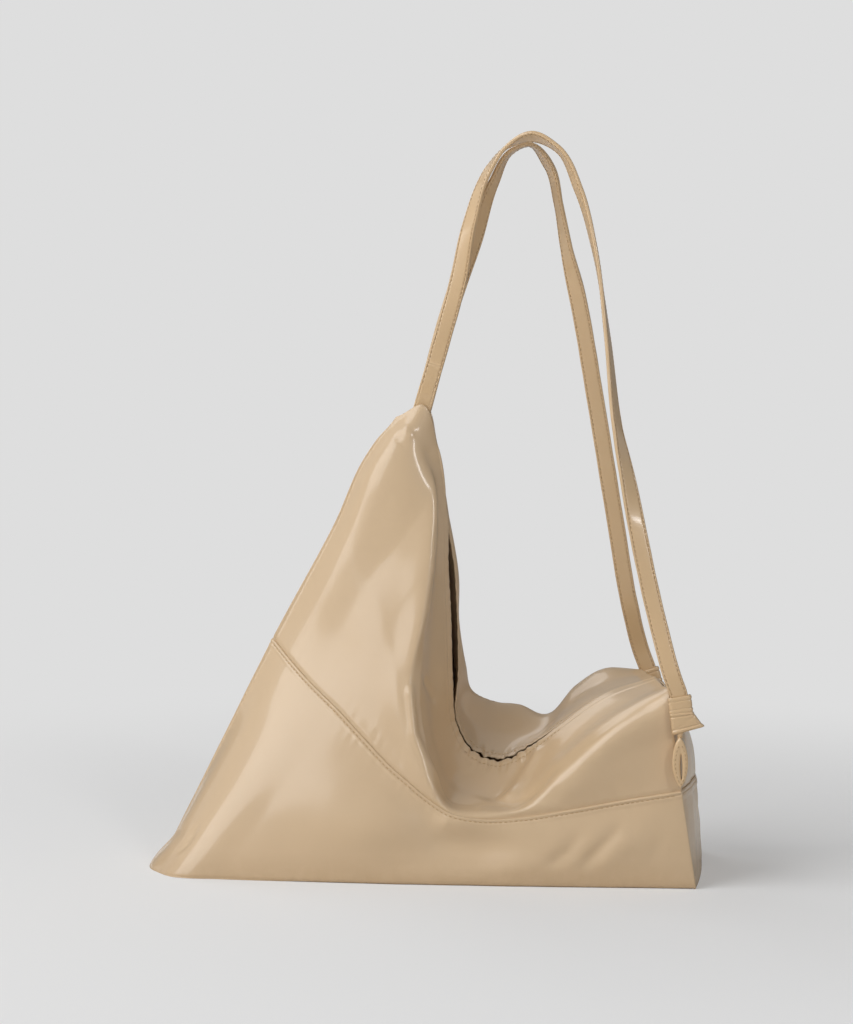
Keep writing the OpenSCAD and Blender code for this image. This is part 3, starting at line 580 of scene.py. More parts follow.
def weave_group():
    """Warp and weft threads that pass over and under each other."""
    group, given, result = make_group(
        "Weave", [("Threads per metre", "NodeSocketFloat", 1600.0)],
        [("Height", "NodeSocketFloat"), ("Shade", "NodeSocketFloat")],
    )
    place = place_on(group)
    split = group.nodes.new("ShaderNodeSeparateXYZ")
    group.links.new(place, split.inputs[0])
    x, y, z = split.outputs["X"], split.outputs["Y"], split.outputs["Z"]
    turns = math_node(group, "MULTIPLY", given.outputs["Threads per metre"], math.pi)
    across = math_node(group, "ADD", x, math_node(group, "MULTIPLY", y, 0.6))
    warp = math_node(group, "SINE", math_node(group, "MULTIPLY", across, turns))
    up = math_node(group, "ADD", z, math_node(group, "MULTIPLY", y, 0.8))
    weft = math_node(group, "SINE", math_node(group, "MULTIPLY", up, turns))
    cross = math_node(group, "MULTIPLY", warp, weft)
    uneven = noise_node(group, place, scale=240.0, detail=3, roughness=0.5)
    rise = math_node(group, "ADD", math_node(group, "MULTIPLY", cross, 0.5), uneven)
    group.links.new(rise, result.inputs["Height"])
    shade = math_node(group, "ADD", math_node(group, "MULTIPLY", cross, 0.25),
                      math_node(group, "MULTIPLY", uneven, 0.6))
    group.links.new(math_node(group, "ADD", shade, 0.2), result.inputs["Shade"])
    return group


GRAIN, HANDLING, WEAVE = leather_grain_group(), handling_group(), weave_group()


def new_material(name, **plain):
    """A material with its shader, whose plain values are given by their labels."""
    material = bpy.data.materials.new(name)
    material.use_nodes = True
    tree = material.node_tree
    shader = tree.nodes["Principled BSDF"]
    for label, value in plain.items():
        shader.inputs[label.replace("_", " ")].default_value = value
    return material, tree, shader


def place_group(tree, group, **values):
    node = tree.nodes.new("ShaderNodeGroup")
    node.node_tree = group
    for label, value in values.items():
        socket = node.inputs[label.replace("_", " ")]
        if isinstance(value, (int, float, tuple)):
            socket.default_value = value
        else:
            tree.links.new(value, socket)
    return node


def add_bump(tree, shader, height_socket, distance, strength):
    bump = tree.nodes.new("ShaderNodeBump")
    bump.inputs["Distance"].default_value = distance
    bump.inputs["Strength"].default_value = strength
    tree.links.new(height_socket, bump.inputs["Height"])
    tree.links.new(bump.outputs["Normal"], shader.inputs["Normal"])


def leather(name, colour, rubbed, soiled, rough, coat, crinkle=0.5, wear=0.6):
    """Coated leather with its grain, its cloudy gloss, and the wear and soil of handling."""
    material, tree, shader = new_material(name, Coat_Weight=coat, Coat_Roughness=0.13, Coat_IOR=1.5)
    grain = place_group(tree, GRAIN, Pores_per_metre=900.0, Crinkle=crinkle)
    worn = place_group(tree, HANDLING, Colour=linear(*colour), Rubbed=linear(*rubbed), Soiled=linear(*soiled),
                       Cloud=grain.outputs["Cloud"], Amount=wear)
    tree.links.new(worn.outputs["Colour"], shader.inputs["Base Color"])
    change = math_node(tree, "MULTIPLY", math_node(tree, "SUBTRACT", grain.outputs["Gloss"], 0.5), 0.16)
    soil = math_node(tree, "MULTIPLY", worn.outputs["Soil"], 0.3)
    clean = math_node(tree, "ADD", change, rough)
    tree.links.new(math_node(tree, "ADD", clean, soil), shader.inputs["Roughness"])
    add_bump(tree, shader, grain.outputs["Height"], distance=0.0006, strength=0.35)
    return material


def cloth(name, thread, shadow, threads, rough=0.9):
    """Woven cloth or sewing thread, darker between its threads."""
    material, tree, shader = new_material(name, Sheen_Weight=0.25, Specular_IOR_Level=0.25)
    weave = place_group(tree, WEAVE, Threads_per_metre=threads)
    shade = weave.outputs["Shade"]
    tree.links.new(mix_colour(tree, shade, linear(*shadow), linear(*thread)), shader.inputs["Base Color"])
    dull = math_node(tree, "ADD", math_node(tree, "MULTIPLY", shade, 0.1), rough - 0.05)
    tree.links.new(dull, shader.inputs["Roughness"])
    add_bump(tree, shader, weave.outputs["Height"], distance=0.0003, strength=0.6)
    return material


def zip_brass_material():
    """Brass of the zip, dulled in spots."""
    material, tree, shader = new_material("Zip brass", Metallic=1.0)
    dull = noise_node(tree, place_on(tree), scale=350.0, detail=5, roughness=0.6)
    colour = mix_colour(tree, dull, linear(196, 172, 124), linear(150, 126, 84))
    tree.links.new(colour, shader.inputs["Base Color"])
    rough = math_node(tree, "ADD", math_node(tree, "MULTIPLY", dull, 0.25), 0.2)
    tree.links.new(rough, shader.inputs["Roughness"])
    add_bump(tree, shader, dull, distance=0.0001, strength=0.3)
    return material


def base_board_material():
    """Pressed fibre board of the stiffener in the base."""
    material, tree, shader = new_material("Pressed fibre board", Specular_IOR_Level=0.2)
    fibre = noise_node(tree, place_on(tree), scale=500.0, detail=6, roughness=0.7, distortion=1.0)
    colour = mix_colour(tree, fibre, linear(120, 100, 74), linear(178, 156, 122))
    tree.links.new(colour, shader.inputs["Base Color"])
    rough = math_node(tree, "ADD", math_node(tree, "MULTIPLY", fibre, 0.15), 0.75)
    tree.links.new(rough, shader.inputs["Roughness"])
    add_bump(tree, shader, fibre, distance=0.0002, strength=0.4)
    return material


BAG_LEATHER = leather("Bag leather", (202, 174, 138), (209, 182, 144), (164, 134, 96), rough=0.47, coat=0.6)
BASE_LEATHER = leather("Base leather", (190, 160, 122), (198, 168, 130), (140, 112, 82), rough=0.42, coat=0.2,
                       crinkle=0.35, wear=0.9)
STRAP_LEATHER = leather("Strap leather", (206, 174, 132), (214, 186, 146), (168, 136, 98), rough=0.32,
                        coat=0.55, crinkle=0.18, wear=0.5)
INSIDE_LEATHER = leather("Anchor leather", (150, 122, 92), (160, 132, 100), (110, 88, 64), rough=0.6,
                         coat=0.0)
THREAD = cloth("Sewing thread", (202, 170, 128), (172, 140, 100), 3200.0, 0.6)
LINING_CLOTH = cloth("Lining cloth", (172, 142, 112), (118, 94, 72), 1500.0)
ZIP_CLOTH = cloth("Zip tape cloth", (160, 124, 90), (112, 84, 60), 2000.0)
ZIP_BRASS = zip_brass_material()
BOARD = base_board_material()


def dress(piece, material, body="bag", replaced=(), bends=None):
    """Gives a piece its finish, hides the nodes that it stands for and attaches it to the body that it moves
    with, unless bends are given, when it is only baked in place.
    """
    piece.data.materials.append(material)
    if replaced:
        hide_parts(*replaced)
    if bends:
        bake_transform(piece)
    else:
        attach(piece, body)
    return piece


# Outer leather
def spaced_rows(side, us, v0, v1, near, far, middle):
    """Rows up a panel: at given distances from both edges, and evenly between. Gives where each
    row lies, and how far it is from the lower and from the upper edge."""
    dense = np.linspace(v0, v1, 161)
    grid_u, grid_v = np.meshgrid(us, dense)
    step = length_of(np.diff(raw_skin(side, grid_u, grid_v), axis=0))[..., 0]
    reach = np.concatenate([np.zeros((1, len(us))), np.cumsum(step, axis=0)])
    total = reach[-1]
    low, high = near[-1], total - far[0]
    up = [np.full(len(us), float(d)) for d in near]
    up += [low + (high - low) * k / middle for k in range(1, middle)]
    up += [total - d for d in far]
    up = np.array(up)
    v = np.stack([np.interp(up[:, c], reach[:, c], dense) for c in range(len(us))], axis=1)
    return v, up, total - up


# A panel's columns along the bag, and its rows: their distances in millimetres from its lower and
# upper edge, and how many steps lie evenly between
PANEL_US = np.linspace(0, LAST, 20 * LAST + 1)
LOWER_MIDDLE, UPPER_MIDDLE = 46, 84
LOWER_NEAR = [0, 0.8, 1.8, 3, 4.5, 7]
LOWER_FAR = [9, 8, 7.2, 6.4, 5.6, 4.8, 4.2, 3.8, 3.4, 3.0, 2.6, 2.2, 1.8, 1.4, 0.9, 0.3]
UPPER_NEAR = [0, 0.6, 1.2, 2, 3, 4.3, 6, 8, 10.5, 13.5]
LIP_FAR = [20, 17, 14.5, 12.5, 10.8, 9.4, 8.2, 7.1, 6, 4.9, 3.8, 2.8, 1.8, 0.9, 0]
# The waist hem: its width, how far below its edge the stitches run, how far it stands out, the
# roll of its edge, and the groove and the puckers that its stitches pull
HEM_WIDTH, HEM_STITCH, HEM_RISE, HEM_ROLL, HEM_GROOVE, HEM_PUCKER = 6.0, 3.0, 0.35, 0.6, 0.5, 0.12
# How far the lower leather turns in at the base and the upper one at the seam, how far the corner
# under the peak reaches out, and how high the leather's edge lies over the floor
FOOT_TUCK, UPPER_TUCK, CORNER_REACH, FOOT_HEIGHT = 1.2, 0.8, 8.0, 0.9
# The lips: how far below their edge the stitches run, how far their turned edge stands out, the
# groove and the puckers that the stitches pull, and the waves of the edge
LIP_STITCH, LIP_RISE, LIP_GROOVE, LIP_PUCKER, LIP_WAVE = 6.0, 0.45, 0.5, 0.9, 1.2
# How far the lips lie back beside the slider, and the near lip's drop in the valley and beside
# the tall part
LIP_BACK, VALLEY_DROP, TALL_DROP = 1.6, 0.5, 2.5
# How far the dome of the peak stands out, and how far its corner is rounded off
DOME_OUT, DOME_DOWN = 5.5, 5.0
# The columns between which the stitches of the lips are sewn
LIP_SEWN = slice(156, -40)


def seam_reach(side):
    return reach_along(curve(LINES[side][SEAM_ROW], PANEL_US))


def lower_leather(side, name, node):
    """A lower panel, with the turned hem of the waist seam along its top. Gives its stitch line."""
    v, up, down = spaced_rows(side, PANEL_US, 0, SEAM_ROW, LOWER_NEAR, LOWER_FAR, LOWER_MIDDLE)
    u = np.broadcast_to(PANEL_US, v.shape)
    p, n = raw_skin(side, u, v), skin_normal(side, u, v)
    s = seam_reach(side)
    out = slack(side, p) * ramp(2, 20, up)
    # The turned edge stands up as a thin roll, and the stitches pull a groove below it
    out = out + HEM_RISE * (1 - ramp(HEM_WIDTH - 2, HEM_WIDTH + 1, down)) + HEM_ROLL * bell(down, 1.1, 1.1)
    out = out - HEM_GROOVE * bell(down, HEM_STITCH, 0.75) * (0.75 + 0.25 * gather(s, STITCH_PITCH, 3))
    out = out + HEM_PUCKER * gather(s, 9.5, 17 + side) * bell(down, 5, 7)
    out = out - FOOT_TUCK * (1 - ramp(0, 4, up))
    # The corner under the peak reaches out a little over the base
    p[..., 0] -= CORNER_REACH * (1 - ramp(0, 26, up)) * (1 - ramp(0, 1.6, u))
    p[..., 2] = np.maximum(p[..., 2], FOOT_HEIGHT)
    outer = keep_side(side, p + n * out[..., None], LEATHER + GAP / 2)
    inner = keep_side(side, p + n * (out - LEATHER)[..., None], GAP / 2)
    dress(sheet(name, outer, inner), BAG_LEATHER, replaced=[node])
    row = len(v) - len(LOWER_FAR) + LOWER_FAR.index(HEM_STITCH)
    return outer[row, 2:-2], n[row, 2:-2]


def upper_leather(side, name, node):
    """An upper panel, up to the gathered lip of the mouth. Gives its lip's stitch line."""
    v, up, down = spaced_rows(side, PANEL_US, SEAM_ROW, LIP_ROW, UPPER_NEAR, LIP_FAR, UPPER_MIDDLE)
    u = np.broadcast_to(PANEL_US, v.shape)
    p, n = raw_skin(side, u, v), skin_normal(side, u, v)
    s, lip_s = seam_reach(side), reach_along(curve(LIPS, PANEL_US))
    gap_open = opens(u) * (1 - ramp(11.6, 12.4, u))
    out = slack(side, p) * (0.25 + 0.75 * ramp(0, 14, up)) * (0.3 + 0.7 * ramp(0, 20, down))
    out = out - UPPER_TUCK * (1 - ramp(0, 4.5, up))
    if side == FRONT:
        pinch = along_fold(p * [1, 0, 1], PINCH, PINCH_WIDTH, PINCH_FADE)
        out = out + PINCH_PUSH * pinch * (1 - ramp(3.9, 4, v))
    out = out + 0.16 * gather(s, 11, 23 + side) * np.exp(-up / 12) * ramp(0, 4, up)
    # The lips: turned in over the zip tape and gathered along their stitches
    out = out + LIP_RISE * opens(u) * (1 - ramp(LIP_STITCH + 1.5, LIP_STITCH + 4, down))
    # The lips lie back a little beside the zip's slider and pull
    out = out - LIP_BACK * bell(u, 10.9, 0.7) * bell(down, 0, 9)
    out = out - LIP_GROOVE * gap_open * bell(down, LIP_STITCH, 1.1)
    valley = (0.22 + 0.78 * ramp(7.4, 8.6, u)) * (1 - 0.95 * ramp(9.6, 10.6, u))
    puckers = gather(lip_s, 8.5, 31 + side) + 0.5 * gather(lip_s, 4.7, 33 + side)
    out = out + LIP_PUCKER * gap_open * valley * puckers * bell(down, LIP_STITCH, 6.5)
    wave = gather(lip_s, 11.5, 41 + side) + 0.6 * gather(lip_s, 6.1, 43 + side)
    wave = LIP_WAVE * gap_open * valley * wave * bell(down, 0, 6)
    # Seen from the front, the near lip lies a little lower than the far one in the valley
    # and beside the tall part it lies further back, so that the mouth's dark inside shows
    drop = VALLEY_DROP * stretch(8, 9, 10.2, 11, u) + TALL_DROP * stretch(3.3, 4.3, 5.7, 6.9, u)
    drop = side * drop * bell(down, 0, 12)
    p = p - inward(u) * (wave + drop)[..., None]
    # The peak is a soft dome: its side stands out a little and its corner is rounded off
    p[..., 0] -= DOME_OUT * bell(p[..., 2], 345, 34) * (1 - ramp(0, 2.6, u))
    p[..., 2] -= DOME_DOWN * (1 - ramp(0, 1.1, u)) * ramp(4.6, 6, v)
    outer = keep_side(side, p + n * out[..., None], LEATHER + GAP / 2)
    inner = keep_side(side, p + n * (out - LEATHER)[..., None], GAP / 2)
    dress(sheet(name, outer, inner), BAG_LEATHER, replaced=[node])
    row = len(v) - len(LIP_FAR) + LIP_FAR.index(LIP_STITCH)
    return outer[row, LIP_SEWN], n[row, LIP_SEWN]


def outer_leather():
    hems = [lower_leather(FRONT, "front_lower_leather", "front_lower_panel"),
            lower_leather(BACK, "back_lower_leather", "back_lower_panel")]
    lips = [upper_leather(FRONT, "front_upper_leather", "front_upper_panel"),
            upper_leather(BACK, "back_upper_leather", "back_upper_panel")]
    return hems, lips


# End gusset: the way that it faces, its columns, and how far its slack middle stands out
END_WAY = np.array([1.0, 0, 0])
GUSSET_COLUMNS, END_SLACK = 71, 7.5


def skin(side, u, v, depth):
    u, v = np.asarray(u, float), np.asarray(v, float)
    p = raw_skin(side, u, v) - skin_normal(side, u, v) * depth
    return keep_side(side, p, GAP / 2 + max(0.0, LEATHER - depth))


def end_edge(side, v):
    return skin(side, np.full(np.shape(v), float(LAST)), v, LEATHER + GAP)


def gusset(v, w, depth):
    """The end wall, a given depth under its outside: v runs up it, and w from the front to the back."""
    front, back = end_edge(FRONT, v), end_edge(BACK, v)
    row = FOLD_ROW + (LIP_ROW - FOLD_ROW) * 2 * np.minimum(w, 1 - w)
    on_front = (w <= 0.5)[..., None]
    end, before = np.full(w.shape, float(LAST)), np.full(w.shape, LAST - 0.12)
    top = np.where(on_front, end_edge(FRONT, row), end_edge(BACK, row))
    run = unit(np.where(on_front, raw_skin(FRONT, end, row) - raw_skin(FRONT, before, row),
                        raw_skin(BACK, end, row) - raw_skin(BACK, before, row)))
    up = ((v / FOLD_ROW) ** 2)[..., None]
    part = w[..., None]
    full = np.full(v.shape, float(FOLD_ROW))
    fit = top - end_edge(FRONT, full) * (1 - part) - end_edge(BACK, full) * part
    out = 4 * w * (1 - w) * END_BELLY * (0.35 + 0.65 * np.sin(np.pi * np.minimum(1, v / FOLD_ROW)))
    way = unit(END_WAY * (1 - up) + up * run)
    depth = np.broadcast_to(np.asarray(depth, float), v.shape)
    spread = front * (1 - part) + back * part + fit * up
    return spread + out[..., None] * END_WAY - depth[..., None] * way


def gusset_piece(name, node, v0, v1, lower):
    """The lower or the upper end gusset. The lower one has the hem, and gives its stitch line."""
    w, v = np.meshgrid(np.linspace(0, 1, GUSSET_COLUMNS), np.linspace(v0, v1, 64))
    p = gusset(v, w, 0.0)
    out = 0.5 * unevenness(p, 26, 71) + 0.3 * unevenness(p, 12, 73)
    out = out * ramp(0, 0.12, w) * ramp(0, 0.12, 1 - w)
    out = out - 1.4 * along_fold(p, [(228, -40, 20), (232, -6, 48), (230, 30, 62)], 9, 20)
    out = out * ramp(0, 0.3, v)
    # The slack end stands out above the waist seam
    out = out + END_SLACK * np.sin(np.pi * np.clip((v - 2) / 1.9, 0, 1)) * (4 * w * (1 - w)) ** 0.7
    seam_mm = (v1 - v) * SEAM_END / 2 if lower else (v - v0) * (LOW_END - SEAM_END) / 2
    if lower:
        out = out + 0.75 * (1 - ramp(HEM_WIDTH - 0.6, HEM_WIDTH + 1, seam_mm))
        out = out - 0.3 * bell(seam_mm, HEM_STITCH, 0.9)
    else:
        out = out - 0.7 * (1 - ramp(0, 4.5, seam_mm))
    piece = sheet(name, gusset(v, w, -out), gusset(v, w, LEATHER - out))
    dress(piece, BAG_LEATHER, replaced=[node])
    row = int(np.argmin(np.abs(seam_mm[:, 0] - HEM_STITCH)))
    return gusset(v[row], w[row], -out[row])[1:-1], np.tile(END_WAY, (GUSSET_COLUMNS - 2, 1))


# Base and linings
BASE_COLUMNS = 105
# How deep the lining lies under the leather's outside, how high its foot is, and how much of the
# leather's outward folds it follows
LINING_DEPTH, LINING_FOOT, SLACK_TAKEN = LEATHER + GAP + 0.25, 5.3, 0.6
# The pocket's ends along the bag, its foot and top up the side, and its room to the lining
POCKET_START, POCKET_END, POCKET_FOOT, POCKET_TOP, POCKET_ROOM = 5, 10.5, 0.667, 2.667, 0.75


def base_side(side, top):
    """One long side of a sheet in the base whose top is at a given height, clear of the leather."""
    u = np.linspace(0, LAST, BASE_COLUMNS)
    seam_z = curve(LINES[side][SEAM_ROW], u)[..., 2]
    zero = np.zeros(u.shape)
    # The leather leans in, measured from the floor to a little above the sheet's top
    p, q = raw_skin(side, u, zero), raw_skin(side, u, np.minimum(1, 3.5 * top / seam_z))
    t = unit(raw_skin(side, np.minimum(LAST, u + 0.1), zero) - raw_skin(side, np.maximum(0, u - 0.1), zero))
    n = side * np.stack([t[:, 1], -t[:, 0], zero], axis=-1)
    lean = np.maximum(0, ((q - p) * n).sum(-1))
    inset = LEATHER * 1.3 + GAP
    place = p + n * (inset + lean)[:, None]
    place[:, 0] -= ramp(LAST - 1, LAST, u) * (inset + np.maximum(0, p[:, 0] - q[:, 0]))
    return place


def base_sheet(name, node, low, thick, material):
    """A sheet in the base, uneven underneath and flat on top."""
    front, back = base_side(FRONT, low + thick), base_side(BACK, low + thick)
    part = np.linspace(0, 1, 41)[:, None, None]
    at_end = ramp(0.985, 1, np.linspace(0, 1, BASE_COLUMNS))[None, :, None]
    bulge = np.sin(np.pi * part) * at_end * END_BELLY * 0.3
    flat = front[None] * (1 - part) + back[None] * part + bulge * END_WAY
    rise = 0.12 * unevenness(flat, 30, 77) + 0.12
    under, over = flat.copy(), flat.copy()
    under[..., 2] = low + np.maximum(0, rise)
    over[..., 2] = low + thick
    dress(sheet(name, under, over), material, replaced=[node])


def side_cloth(side, name, node):
    """The lining of one side, from just above the base up to the zip tape."""
    us = np.linspace(0.5, LAST - 0.12, 150)
    foot = 2 * LINING_FOOT / curve(LINES[side][SEAM_ROW], us)[..., 2]
    part = np.linspace(0, 1, 80)[:, None]
    v = foot * (1 - part) + (LIP_ROW - 0.72) * part
    u = np.broadcast_to(us, v.shape)
    p, n = raw_skin(side, u, v), skin_normal(side, u, v)
    out = np.minimum(slack(side, p), SLACK_TAKEN) - LINING_DEPTH - 0.35 * np.abs(unevenness(p, 18, 83))
    outer = keep_side(side, p + n * out[..., None], GAP / 2)
    inner = keep_side(side, p + n * (out - LINING)[..., None], GAP / 2)
    # The cloth leaves the inside of the peak open for the strap roots
    keep = (v[1:, :-1] < FOLD_ROW - 0.67) | (u[1:, :-1] > 2.5)
    dress(sheet(name, outer, inner, keep=keep, roll=1), LINING_CLOTH, replaced=[node])


def pocket_cloth():
    """The puckered inner pocket on the back lining. Gives the stitch lines of its sides and foot."""
    u, v = np.meshgrid(np.linspace(POCKET_START, POCKET_END, 80), np.linspace(POCKET_FOOT, POCKET_TOP, 60))
    p, n = raw_skin(BACK, u, v), skin_normal(BACK, u, v)
    edge = ramp(0, 0.3, v - POCKET_FOOT) * ramp(0, 0.4, u - POCKET_START) * ramp(0, 0.4, POCKET_END - u)
    out = np.minimum(slack(BACK, p), SLACK_TAKEN) - LINING_DEPTH - LINING - POCKET_ROOM
    out = out - 0.6 * edge * (1 + unevenness(p, 25, 87))
    outer, inner = p + n * out[..., None], p + n * (out - LINING)[..., None]
    piece = sheet("pocket_cloth", outer, inner, roll=1)
    dress(piece, LINING_CLOTH, replaced=["inner_pocket"])
    return [(inner[:, 2], -n[:, 2]), (inner[:, -3], -n[:, -3]), (inner[2], -n[2])]


def gusset_cloth():
    """The lining of the end wall."""
    w, v = np.meshgrid(np.linspace(0.07, 0.93, 40), np.linspace(0.3, 3.7, 60))
    p = gusset(v, w, 0.0)
    depth = LINING_DEPTH + 0.9 + 0.3 * np.abs(unevenness(p, 18, 89))
    dress(sheet("gusset_cloth", gusset(v, w, depth), gusset(v, w, depth + LINING), roll=1),
          LINING_CLOTH, replaced=["gusset_lining"])


# Zip: where it starts and ends, where its straight stretch starts and where its rows meet
ZIP_START, ZIP_END, STRAIGHT_START, ROWS_MEET = 3.0, 11.5, 10.6, 11.3
TAPE_STITCH_ROW = 9


def zip_line(u):
    """The middle of the zip: it follows the lips, and runs straight where the slider slides."""
    def below(x):
        return curve(LIPS, x) + inward(x) * ZIP_DEPTH

    u = np.asarray(u, float)
    t = ((u - STRAIGHT_START) / (ZIP_END - STRAIGHT_START))[..., None]
    straight = below(np.full(u.shape, STRAIGHT_START)) * (1 - t) + below(np.full(u.shape, ZIP_END)) * t
    return np.where(t < 0, below(u), straight)


def zip_cloth(side, name, node):
    """One tape of the zip, sagging from the lip to its row of teeth. Gives its stitch line."""
    us = np.linspace(ZIP_START, ZIP_END, 240)
    edge = skin(side, us, np.full(us.shape, LIP_ROW - 1 / 3), LEATHER + GAP + 0.2)
    out = MOUTH / 2 * opens(us) * (1 - ramp(ROWS_MEET - 1.2, ROWS_MEET, us)) + ROW_GAP / 2 + TOOTH + 2 * GAP
    row = zip_line(us)
    row[:, 1] += side * out
    part = np.linspace(0, 1, 12)[:, None, None]
    sagging = np.sin(np.pi * part) * (1.1 + 0.6 * gather(reach_along(row), 12, 51 + side))[None, :, None]
    upper = edge * (1 - part) + row * part + inward(us)[None] * sagging
    under = upper + inward(us)[None] * TAPE
    dress(sheet(name, upper, under, roll=1), ZIP_CLOTH, replaced=[node])
    return upper[TAPE_STITCH_ROW], -inward(us)


# Straps
CORNER = LINES[BACK][SEAM_ROW][LAST]
ROOT_Z, KNOT_LOW = PEAK + 9, SEAM_END + 50
# The straps' routes: x and y in parts of a hundred of the half length and depth, the height in
# parts of a hundred up to the apex or down to the knot, and the way that the strap faces
FRONT_PATH = [
    ((5.4, -3.5, 21.2), (0, -1, 0)), ((11.4, -4.7, 44.6), (-0.2, -0.95, 0.1)),
    ((15.7, -7.1, 67.2), (-0.55, -0.75, 0.3)), ((22.8, -9.4, 87.6), (-0.75, -0.4, 0.5)),
    ((29, -11.2, 95.9), (-0.6, -0.05, 0.8)), ((38.7, -14.1, 100), (0, 0.5, 0.87)),
    ((47.7, -18.8, 95.2), (0.65, 0.3, 0.7)), ((55.5, -25.9, 79.3), (0.85, 0.4, 0.25)),
    ((61.9, -36.5, 56.3), (0.95, 0.2, 0.2)), ((66.7, -50.6, 23.9), (0.97, -0.1, 0.2)),
    ((71, -64.7, -9.5), (0.9, -0.4, 0.2)), ((74.8, -72.9, -24.7), (0.6, -0.8, 0.1)),
    ((78.3, -80, -39.6), (0.2, -0.95, 0)), ((86.7, -92.9, -69.5), (0, -1, 0)),
]
BACK_PATH = [
    ((8, 3.5, 32.9), (0, 1, 0)), ((16.8, 4.7, 60.3), (-0.4, 0.85, 0.2)),
    ((24.1, 6.5, 82.8), (-0.75, 0.4, 0.5)), ((30.5, 7.1, 94.8), (-0.5, 0.1, 0.85)),
    ((37, 8.2, 97.3), (0.1, 0.05, 1)), ((43.9, 12.9, 88.8), (0.75, 0.5, 0.4)),
    ((47.3, 21.2, 74.1), (0.85, 0.45, 0.2)), ((50.3, 30.6, 56.3), (0.7, 0.65, 0.1)),
    ((53.8, 38.8, 38.6), (0.2, 0.95, 0)), ((60.6, 56.5, -2.4), (0, 1, 0)),
    ((67.5, 75.3, -40.7), (0, 1, 0)), ((73.1, 89.4, -68.4), (0, 1, 0)),
]
# The heights in the knot at which the strap has a point
IN_KNOT = [44, 34, 22, 8]
# The soft strap leaves its straight run a little above the keeper
KNOT_EASE = {FRONT: [3.4, 0.9, 0, 0], BACK: [1.2, 0.3, 0, 0]}
HALF_THICK = STRAP_THICKNESS / 2
# The stitches run at this part of the half width
STRAP_STITCH = 0.76
# How far the strap is sewn in, where its bend with the bag starts and ends, and the root's length
SEWN_IN, BEND_START, BEND_END, ROOT_LENGTH = 20, 2, 24, 26
# Where each knot's foot lies, along and out from the corner of the low end, and its lean
KNOT_PLACE = {FRONT: (2.3, 7), BACK: (-25.7, 10)}
KNOT_LEAN = {FRONT: 7, BACK: 16}
FOLD_ALONG = {FRONT: -3, BACK: -1}
# Half the width and thickness of a band, and the keeper's foot and height on the knot
BAND_SIZE, KEEPER_FOOT, KEEPER_HEIGHT = (9.6, 3.7), 17.3, 12.5
# The wrap's flared foot: half its width and thickness, how far it reaches aside and its tip rises
FLARE_SIZE, FLARE_SHIFT, FLARE_RISE = (13.4, 3.1), np.array([3.9, 0]), 4.4
WRAP_HEIGHT, WRAP_THICK = 16.8, 1.7
# The loop tabs: their size, their lean, and how far the back one lies further out
TAB_LENGTH, TAB_WIDTH = 42.0, 13.5
TAB_LEAN = {FRONT: 1, BACK: 32}
TAB_OUT = {FRONT: 0.0, BACK: 0.6}


def knot_foot(side):
    along, out = KNOT_PLACE[side]
    return np.array([CORNER[0] + along, side * (CORNER[1] + out), KNOT_LOW])


def knot_lean(side):
    return math.radians(KNOT_LEAN[side])


def knot_up(side):
    return np.array([-math.sin(knot_lean(side)), 0, math.cos(knot_lean(side))])


def knot_across(side):
    return np.array([math.cos(knot_lean(side)), 0, math.sin(knot_lean(side))])


def strap_height_at(percent):
    """A height in parts of a hundred of the way from the root up to the apex or down to the knot."""
    return ROOT_Z + (ROOT_Z - KNOT_LOW if percent < 0 else STRAP_TOP - HALF_THICK - ROOT_Z) * percent / 100


def strap_path(side):
    """The points of a strap's middle line from its root to its knot, and the way it faces at each."""
    path = FRONT_PATH if side == FRONT else BACK_PATH
    foot, up = knot_foot(side), knot_up(side)
    points = [(-1, side * ROOT_OUT, ROOT_Z)]
    points += [full_size(x, y, strap_height_at(z)) for (x, y, z), _ in path]
    points += [foot + rise * up - [ease, 0, 0] for rise, ease in zip(IN_KNOT, KNOT_EASE[side])]
    looks = [(0, side, 0)] + [look for _, look in path] + [(0, side, 0)] * len(IN_KNOT)
    return np.array(points, float), np.array(looks, float)


def strap_profile():
    """A strap's section, as parts of the half width and the thickness in millimetres."""
    across = np.array([0, 0.2, 0.4, 0.56, 0.66, 0.72, 0.76, 0.8, 0.86, 0.92])
    rise = HALF_THICK + 0.14 * np.cos(np.pi * across / 2) - 0.5 * bell(across, STRAP_STITCH, 0.045)
    rise[-1] -= 0.18
    turn = np.radians([50, 25, 0])
    corner = [(0.955 + 0.045 * math.cos(a), HALF_THICK * 0.82 * math.sin(a)) for a in turn]
    right = list(zip(across, rise)) + corner
    ring = [(x, z) for x, z in right] + [(x, -z) for x, z in right[-2::-1]]
    ring += [(-x, -z) for x, z in right[1:]] + [(-x, z) for x, z in right[-2:0:-1]]
    return np.array(ring)


def ribbon_rings(points, looks, us, half_widths, thickness, profile):
    e = 0.05
    last = len(points) - 1
    t = unit(curve(points, np.minimum(last, us + e)) - curve(points, np.maximum(0, us - e)))
    w = unit(np.cross(t, curve(looks, us)))
    n = unit(np.cross(w, t))
    middle = curve(points, us)
    across, rise = profile[:, 0][None, :, None], profile[:, 1][None, :, None]
    rings = middle[:, None] + w[:, None] * across * half_widths[:, None, None]
    return rings + n[:, None] * rise * thickness[:, None, None], middle, w, n


